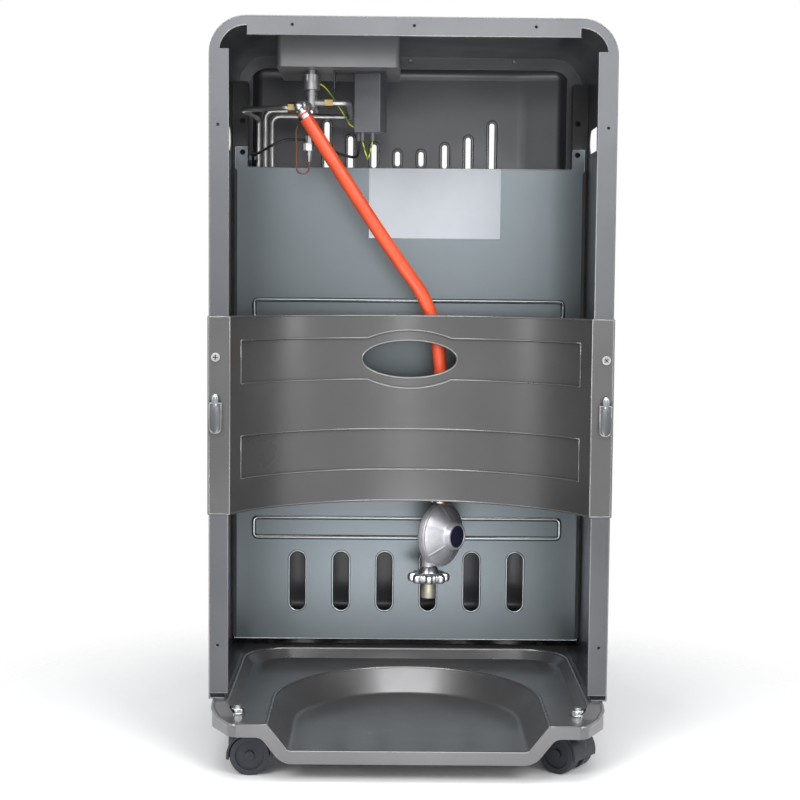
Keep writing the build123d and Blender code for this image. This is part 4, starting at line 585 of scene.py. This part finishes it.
class Recipe:
    """Node material under construction."""

    def __init__(self, name):
        self.material = bpy.data.materials.new(name)
        self.material.use_nodes = True
        self.tree = self.material.node_tree
        self.shader = self.tree.nodes["Principled BSDF"]
        self.place = self.add("ShaderNodeTexCoord").outputs["Object"]

    def add(self, kind, **settings):
        node = self.tree.nodes.new(kind)
        for key, value in settings.items():
            setattr(node, key, value)
        return node

    def link(self, source, target):
        self.tree.links.new(source, target)

    def set(self, **values):
        """Constants of the shader, named as its sockets are, with _ for a space."""
        for key, value in values.items():
            self.shader.inputs[key.replace("_", " ")].default_value = value

    def combine(self, operation, first, second):
        """Result of a Math node on two sockets."""
        node = self.add("ShaderNodeMath", operation=operation)
        self.link(first, node.inputs[0])
        self.link(second, node.inputs[1])
        return node.outputs[0]

    def noise(self, scale, detail=4.0, rough=0.55, squash=(1, 1, 1)):
        mapping = self.add("ShaderNodeMapping")
        mapping.inputs["Scale"].default_value = squash
        self.link(self.place, mapping.inputs["Vector"])
        texture = self.add("ShaderNodeTexNoise")
        texture.inputs["Scale"].default_value = scale
        texture.inputs["Detail"].default_value = detail
        texture.inputs["Roughness"].default_value = rough
        self.link(mapping.outputs["Vector"], texture.inputs["Vector"])
        return texture.outputs["Fac"]

    def cells(self, scale):
        """One random value for each cell of a Voronoi pattern."""
        texture = self.add("ShaderNodeTexVoronoi")
        texture.inputs["Scale"].default_value = scale
        self.link(self.place, texture.inputs["Vector"])
        split = self.add("ShaderNodeSeparateColor")
        self.link(texture.outputs["Color"], split.inputs["Color"])
        return split.outputs["Red"]

    def span(self, value, low, high, start=0.3, end=0.7):
        """Value brought from start..end to low..high, and kept within it."""
        shape = self.add("ShaderNodeMapRange")
        shape.inputs["From Min"].default_value = start
        shape.inputs["From Max"].default_value = end
        shape.inputs["To Min"].default_value = low
        shape.inputs["To Max"].default_value = high
        self.link(value, shape.inputs["Value"])
        return shape.outputs["Result"]

    def blend(self, factor, first, second):
        """Mix of two colours, each a tuple or a socket."""
        mix = self.add("ShaderNodeMix", data_type="RGBA")
        self.link(factor, mix.inputs["Factor"])
        for socket, colour in ((mix.inputs[6], first), (mix.inputs[7], second)):
            if isinstance(colour, tuple):
                socket.default_value = (*colour, 1.0)
            else:
                self.link(colour, socket)
        return mix.outputs[2]

    def bump(self, height, strength, distance, base=None):
        """Bump on the surface and on its coat, on top of a rounded normal where one is given."""
        node = self.add("ShaderNodeBump")
        node.inputs["Strength"].default_value = strength
        node.inputs["Distance"].default_value = distance
        self.link(height, node.inputs["Height"])
        if base is not None:
            self.link(base, node.inputs["Normal"])
        self.link(node.outputs["Normal"], self.shader.inputs["Normal"])
        self.link(node.outputs["Normal"], self.shader.inputs["Coat Normal"])

    def colour(self, socket):
        self.link(socket, self.shader.inputs["Base Color"])

    def rough(self, socket):
        self.link(socket, self.shader.inputs["Roughness"])

    def edge(self, radius):
        """Share of worn edge, where a rounded normal leaves the true one, and that normal."""
        bevel = self.add("ShaderNodeBevel", samples=4)
        bevel.inputs["Radius"].default_value = radius
        flat = self.add("ShaderNodeNewGeometry")
        dot = self.add("ShaderNodeVectorMath", operation="DOT_PRODUCT")
        self.link(bevel.outputs["Normal"], dot.inputs[0])
        self.link(flat.outputs["Normal"], dot.inputs[1])
        return self.span(dot.outputs["Value"], 1.0, 0.0, 0.85, 1.0), bevel.outputs["Normal"]


def paint(name, colour, worn, rough, metallic, peel=0.035, coat=0.25, bend=0.0009):
    """Satin paint, scuffed to a worn colour along its edges."""
    r = Recipe(name)
    r.set(Metallic=metallic, Coat_Weight=coat, Coat_Roughness=0.18)
    edge, rounded = r.edge(bend)
    tone = r.blend(r.span(r.noise(9), 0.0, 1.0), shade(colour, 0.93), shade(colour, 1.05))
    fleck = r.blend(r.span(r.noise(1500, 2), 0.0, 0.05, 0.5, 0.75), tone, shade(colour, 1.7))
    scuffed = r.combine("MULTIPLY", edge, r.span(r.noise(60, 5), 0.0, 0.55, 0.45, 0.7))
    r.colour(r.blend(scuffed, fleck, worn))
    r.rough(r.span(r.noise(14, 5), rough - 0.05, rough + 0.06))
    r.bump(r.noise(900, 3), peel, 0.0004, rounded)
    return r.material


def sheet_metal(name, light, dark, rough, cell, streak=(1, 1, 1), spread=0.5):
    """Bare sheet with faint spangles, drawn out along an axis by streak."""
    r = Recipe(name)
    r.set(Metallic=1.0, Anisotropic=0.2)
    base = r.blend(r.span(r.cells(cell), 0.0, spread, 0.0, 1.0), light, dark)
    r.colour(r.blend(r.span(r.noise(5, 3), 0.0, 0.3), base, shade(dark, 0.86)))
    grain = r.span(r.noise(420, 4, 0.6, streak), -0.006, 0.006)
    spangle = r.span(r.cells(cell), rough - 0.008, rough + 0.008, 0.0, 1.0)
    r.rough(r.combine("ADD", grain, spangle))
    r.bump(r.noise(60, 3, 0.5, streak), 0.02, 0.0003)
    return r.material


def cast_metal(name, colour, rough, metallic, pits, scale=700):
    """Cast or plated metal, darker in patches and brighter on its edges."""
    r = Recipe(name)
    r.set(Metallic=metallic)
    edge, rounded = r.edge(0.0005)
    dirty = r.blend(r.span(r.noise(70, 5), 0.0, 0.8, 0.35, 0.75), colour, shade(colour, 0.62))
    r.colour(r.blend(edge, dirty, shade(colour, 1.2)))
    r.rough(r.span(r.noise(120, 5), rough - 0.07, rough + 0.1))
    r.bump(r.noise(scale, 4), pits, 0.0004, rounded)
    return r.material


def moulded(name, colour, rough, grain=0.15, scale=900, coat=0.0):
    """Plastic or rubber, paler on its edges."""
    r = Recipe(name)
    r.set(Coat_Weight=coat)
    edge, rounded = r.edge(0.0007)
    tone = r.blend(r.span(r.noise(35, 4), 0.0, 1.0), shade(colour, 0.85), shade(colour, 1.12))
    r.colour(r.blend(edge, tone, tuple(min(1.0, channel * 1.5 + 0.01) for channel in colour)))
    r.rough(r.span(r.noise(50, 5), rough - 0.06, rough + 0.08))
    r.bump(r.noise(scale, 3), grain, 0.0003, rounded)
    return r.material


def ceramic(name):
    """Burner plaque: fired clay with rows of fine holes, drawn as dark spots of painted shade over a
    bump.
    """
    hole_pitch = 0.0026
    r = Recipe(name)
    scale = r.add("ShaderNodeVectorMath", operation="SCALE")
    scale.inputs["Scale"].default_value = 2 * pi / hole_pitch
    r.link(r.place, scale.inputs[0])
    split = r.add("ShaderNodeSeparateXYZ")
    r.link(scale.outputs["Vector"], split.inputs[0])
    waves = []
    for axis in ("X", "Z"):
        wave = r.add("ShaderNodeMath", operation="COSINE")
        r.link(split.outputs[axis], wave.inputs[0])
        waves.append(wave.outputs[0])
    hole = r.span(r.combine("ADD", *waves), 0.0, 1.0, 0.7, 1.1)
    body = r.blend(r.span(r.noise(40, 4), 0.0, 1.0), (0.62, 0.50, 0.38), (0.74, 0.66, 0.55))
    # The holes are darker: painted shade inside them.
    r.colour(r.blend(hole, body, (0.05, 0.035, 0.03)))
    r.rough(r.span(r.noise(300, 3), 0.8, 0.95))
    height = r.add("ShaderNodeMath", operation="SUBTRACT")
    height.inputs[0].default_value = 1.0
    r.link(hole, height.inputs[1])
    r.bump(height.outputs[0], 0.6, 0.001)
    return r.material


def paper(name):
    """Bare white label."""
    r = Recipe(name)
    r.set(Specular_IOR_Level=0.35)
    r.colour(r.blend(r.span(r.noise(30, 5), 0.0, 1.0), (0.86, 0.90, 0.97), (0.90, 0.94, 1.0)))
    r.rough(r.span(r.noise(200, 4), 0.42, 0.6))
    r.bump(r.noise(500, 4), 0.08, 0.0003)
    return r.material


def wire_jacket(name):
    """Yellow jacket with a green stripe along each wire."""
    r = Recipe(name)
    wave = r.add("ShaderNodeTexWave", wave_type="BANDS", bands_direction="DIAGONAL")
    wave.inputs["Scale"].default_value = 90.0
    r.link(r.place, wave.inputs["Vector"])
    stripe = r.span(wave.outputs["Fac"], 0.0, 1.0, 0.55, 0.65)
    r.colour(r.blend(stripe, (0.72, 0.66, 0.03), (0.10, 0.30, 0.04)))
    r.rough(r.span(r.noise(200, 3), 0.38, 0.5))
    return r.material


worn_paint = (0.34, 0.34, 0.34)
finishes = {
    "cabinet_paint": paint("pewter_paint", (0.110, 0.113, 0.121), (0.35, 0.35, 0.36), 0.33, 0.8),
    "bay_paint": paint("bay_paint", (0.100, 0.098, 0.098), worn_paint, 0.32, 0.6, coat=0.5),
    # The control well is in the cabinet's own paint; this lighter colour is painted light, a lit copy
    # of that paint.
    "well_paint": paint("well_paint", (0.22, 0.222, 0.226), worn_paint, 0.42, 0.3),
    "galvanised_sheet": sheet_metal(
        "zinc_sheet", (0.116, 0.132, 0.142), (0.112, 0.128, 0.138), 0.29, 300, spread=0.3
    ),
    "bright_sheet": sheet_metal(
        "bright_sheet", (0.56, 0.56, 0.555), (0.50, 0.50, 0.50), 0.20, 60, streak=(1, 1, 12)
    ),
    "guard_wire": cast_metal("chrome_wire", (0.80, 0.80, 0.81), 0.14, 1.0, 0.02),
    "housing_steel": sheet_metal(
        "housing_steel", (0.60, 0.60, 0.59), (0.50, 0.50, 0.50), 0.42, 130
    ),
    "burner_ceramic": ceramic("burner_ceramic"),
    "brass": cast_metal("machined_brass", (0.62, 0.44, 0.20), 0.34, 0.95, 0.05),
    "label": paper("bare_label"),
    "plated_metal": cast_metal("plated_metal", (0.60, 0.61, 0.64), 0.28, 0.9, 0.06),
    "dark_cap": moulded("dark_cap", (0.018, 0.020, 0.045), 0.35, coat=0.3),
    "clamp_steel": cast_metal("clamp_steel", (0.75, 0.75, 0.77), 0.25, 1.0, 0.04),
    "pipe_aluminium": cast_metal("pipe_aluminium", (0.56, 0.56, 0.55), 0.36, 0.9, 0.08),
    "hose_rubber": moulded("hose_rubber", (0.90, 0.105, 0.035), 0.34, 0.06, 500, coat=0.25),
    "black_plastic": moulded("black_plastic", (0.020, 0.021, 0.024), 0.45, 0.3, 1400),
    "copper_lead": cast_metal("copper_lead", (0.28, 0.12, 0.07), 0.4, 0.8, 0.1),
    "black_lead": moulded("black_lead", (0.012, 0.012, 0.013), 0.38),
    "yellow_wire": wire_jacket("wire_jacket"),
    "zinc_steel": cast_metal("zinc_steel", (0.68, 0.68, 0.68), 0.30, 1.0, 0.08),
    "caster_plastic": moulded("caster_plastic", (0.012, 0.015, 0.021), 0.52, 0.25),
    "caster_tread": moulded("caster_tread", (0.016, 0.019, 0.027), 0.58, 0.2),
}

# Finishes of the nodes and pieces that look unlike the rest of their slot. Some are lighter or darker
# copies that carry painted light or painted shade.
satin_zinc = cast_metal("satin_zinc", (0.62, 0.62, 0.66), 0.42, 0.55, 0.05, 400)
screw_zinc = cast_metal("screw_zinc", (0.42, 0.42, 0.43), 0.34, 0.95, 0.05)
nut_zinc = sheet_metal("nut_zinc", (0.52, 0.53, 0.54), (0.48, 0.49, 0.50), 0.24, 300, spread=0.2)
# Lighter copies of the zinc sheet and of the paint, for the rims, tongues and rolled edges: painted
# highlight along them.
edge_zinc = sheet_metal("edge_zinc", (0.30, 0.325, 0.34), (0.28, 0.305, 0.32), 0.24, 300, spread=0.2)
edge_paint = paint(
    "edge_paint", (0.165, 0.165, 0.168), (0.3, 0.3, 0.3), 0.28, 0.7, peel=0.05, coat=0.6, bend=0.0002
)
# Lighter copy of the bay paint for the tray: painted light on its lit upper faces.
tray_paint = paint(
    "tray_paint", (0.172, 0.170, 0.174), (0.20, 0.20, 0.20), 0.32, 0.7, peel=0.01, coat=0.5, bend=0.0002
)
panel_paint = paint("panel_paint", (0.115, 0.118, 0.126), (0.3, 0.3, 0.3), 0.42, 0.35)
# Dark finishes for the side rails, the strips beside the shield, the module's bracket and the screws'
# cross recesses: their darkness is painted shade; the rails and the bracket are galvanised sheet.
rail_black = moulded("rail_black", (0.016, 0.017, 0.018), 0.5)
bracket_dark = moulded("bracket_dark", (0.05, 0.05, 0.053), 0.5)
bright_nickel = cast_metal("bright_nickel", (0.80, 0.81, 0.84), 0.24, 0.95, 0.05)
own_finish = {
    "front_panel": panel_paint,
    "base_tray": tray_paint,
    "sheet_screws": screw_zinc,
    "caster_stems": screw_zinc,
    # The rails and the bracket wear the dark finishes: painted shade.
    "side_rails": rail_black,
    "module_bracket": bracket_dark,
    "ignition_module": moulded("module_grey", (0.14, 0.146, 0.16), 0.42, 0.25, 1400),
    "regulator_body": satin_zinc,
    "gas_valve_body": cast_metal("dull_casting", (0.40, 0.40, 0.41), 0.40, 0.75, 0.15),
    "regulator_thread": cast_metal("thread_zinc", (0.52, 0.49, 0.40), 0.42, 0.7, 0.25, 260),
    "pipe_nuts": cast_metal("dull_brass", (0.36, 0.28, 0.12), 0.42, 0.9, 0.08),
}
for word in caster_places:
    own_finish["caster_axle_" + word] = finishes["caster_plastic"]
for name, thing in nodes.items():
    finish = own_finish.get(name) or finishes[slots[name]]
    if not thing.material_slots:
        thing.data.materials.append(finish)
    for material_slot in thing.material_slots:
        material_slot.material = finish

dressed = (
    ([hose], finishes["hose_rubber"]),
    (wires, finishes["yellow_wire"]),
    ([dial_cover], satin_zinc),
    ([handwheel], bright_nickel),
    (clamps, finishes["clamp_steel"]),
    (stem_nuts, nut_zinc),
    (pockets, finishes["cabinet_paint"]),
    # The tongues and rims wear the lighter copy of the zinc: painted highlight.
    (tongues, edge_zinc),
    # The cross recesses are dark bars: painted shade.
    (recesses, bracket_dark),
    # The strips beside the shield are dark: painted shade of the gaps.
    (shade_strips, rail_black),
    (rims, edge_zinc),
)
for pieces, finish in dressed:
    for piece in pieces:
        piece.data.materials.append(finish)
# The rolled edges wear the lighter copies of zinc and paint: painted highlight along each fold.
for name, bead in rolled.items():
    bead.data.materials.append(edge_zinc if name == "shield_edges" else edge_paint)

# ---------------------------------------------------------------- floor

floor_half = 3.0
shadow_end, floor_end = 0.34, 0.62
floor_corners = [
    (-floor_half, -floor_half, 0),
    (floor_half, -floor_half, 0),
    (floor_half, floor_half, 0),
    (-floor_half, floor_half, 0),
]
floor_mesh = bpy.data.meshes.new("floor")
floor_mesh.from_pydata(floor_corners, [], [(0, 1, 2, 3)])
floor = add_object("floor", floor_mesh)
pale = Recipe("pale_floor")
pale.colour(pale.blend(pale.span(pale.noise(3, 3), 0.0, 1.0), (0.93, 0.93, 0.93), (0.96, 0.96, 0.96)))
pale.set(Roughness=0.9, Specular_IOR_Level=0.1)
# The floor thins out to the white background a little way from the heater.
from_middle = pale.add("ShaderNodeVectorMath", operation="LENGTH")
pale.link(pale.place, from_middle.inputs[0])
thinning = pale.span(from_middle.outputs["Value"], 1.0, 0.0, shadow_end, floor_end)
pale.link(thinning, pale.shader.inputs["Alpha"])
floor.data.materials.append(pale.material)

# ---------------------------------------------------------------- light and background


def softbox(name, place, aim, size, power):
    """Large soft light that looks at a point."""
    data = bpy.data.lights.new(name, "AREA")
    data.shape = "RECTANGLE"
    data.size, data.size_y = size
    data.energy = power
    light = add_object(name, data)
    light.location = place
    light.rotation_euler = (Vector(aim) - Vector(place)).to_track_quat("-Z", "Y").to_euler()


softbox("key", (-1.35, -2.3, 2.1), (0, 0, 0.6), (1.2, 1.2), 42)
softbox("fill", (1.5, -2.3, 2.1), (0, 0, 0.6), (1.2, 1.2), 40)
softbox("card_top", (0.0, -2.8, 1.25), (0, 0, 0.75), (1.6, 0.6), 10)
softbox("card_middle", (0.17, -2.8, 0.68), (0, 0, 0.5), (0.55, 0.55), 4.5)
softbox("bounce", (0.0, -0.72, 0.035), (0.0, -0.60, 1.035), (0.35, 0.5), 2.7)
softbox("above", (0.0, -0.7, 2.5), (0, -0.1, 0.4), (1.7, 1.3), 32)
softbox("left", (-2.3, -1.0, 1.0), (0, 0, 0.45), (0.5, 1.4), 7)
softbox("right", (2.3, -1.0, 1.0), (0, 0, 0.45), (0.5, 1.4), 7)
softbox("front", (0.6, 2.8, 1.5), (0, 0, 0.4), (1.6, 1.6), 14)

world = bpy.data.worlds.new("studio")
bpy.context.scene.world = world
world.use_nodes = True
tree = world.node_tree
tree.nodes.clear()
seen = tree.nodes.new("ShaderNodeBackground")
seen.inputs["Color"].default_value = (1, 1, 1, 1)
seen.inputs["Strength"].default_value = 1.0
lit = tree.nodes.new("ShaderNodeBackground")
lit.inputs["Color"].default_value = (0.90, 0.94, 1.0, 1)
lit.inputs["Strength"].default_value = 0.30
ray = tree.nodes.new("ShaderNodeLightPath")
either = tree.nodes.new("ShaderNodeMixShader")
surroundings = tree.nodes.new("ShaderNodeOutputWorld")
# The camera, reflections and glass see white; the soft light of the world is weaker.
shown = ray.outputs["Is Camera Ray"]
for kind in ("Is Glossy Ray", "Is Transmission Ray"):
    larger = tree.nodes.new("ShaderNodeMath")
    larger.operation = "MAXIMUM"
    tree.links.new(shown, larger.inputs[0])
    tree.links.new(ray.outputs[kind], larger.inputs[1])
    shown = larger.outputs[0]
tree.links.new(shown, either.inputs["Fac"])
tree.links.new(lit.outputs[0], either.inputs[1])
tree.links.new(seen.outputs[0], either.inputs[2])
tree.links.new(either.outputs[0], surroundings.inputs["Surface"])
bpy.context.scene.view_settings.view_transform = "Standard"
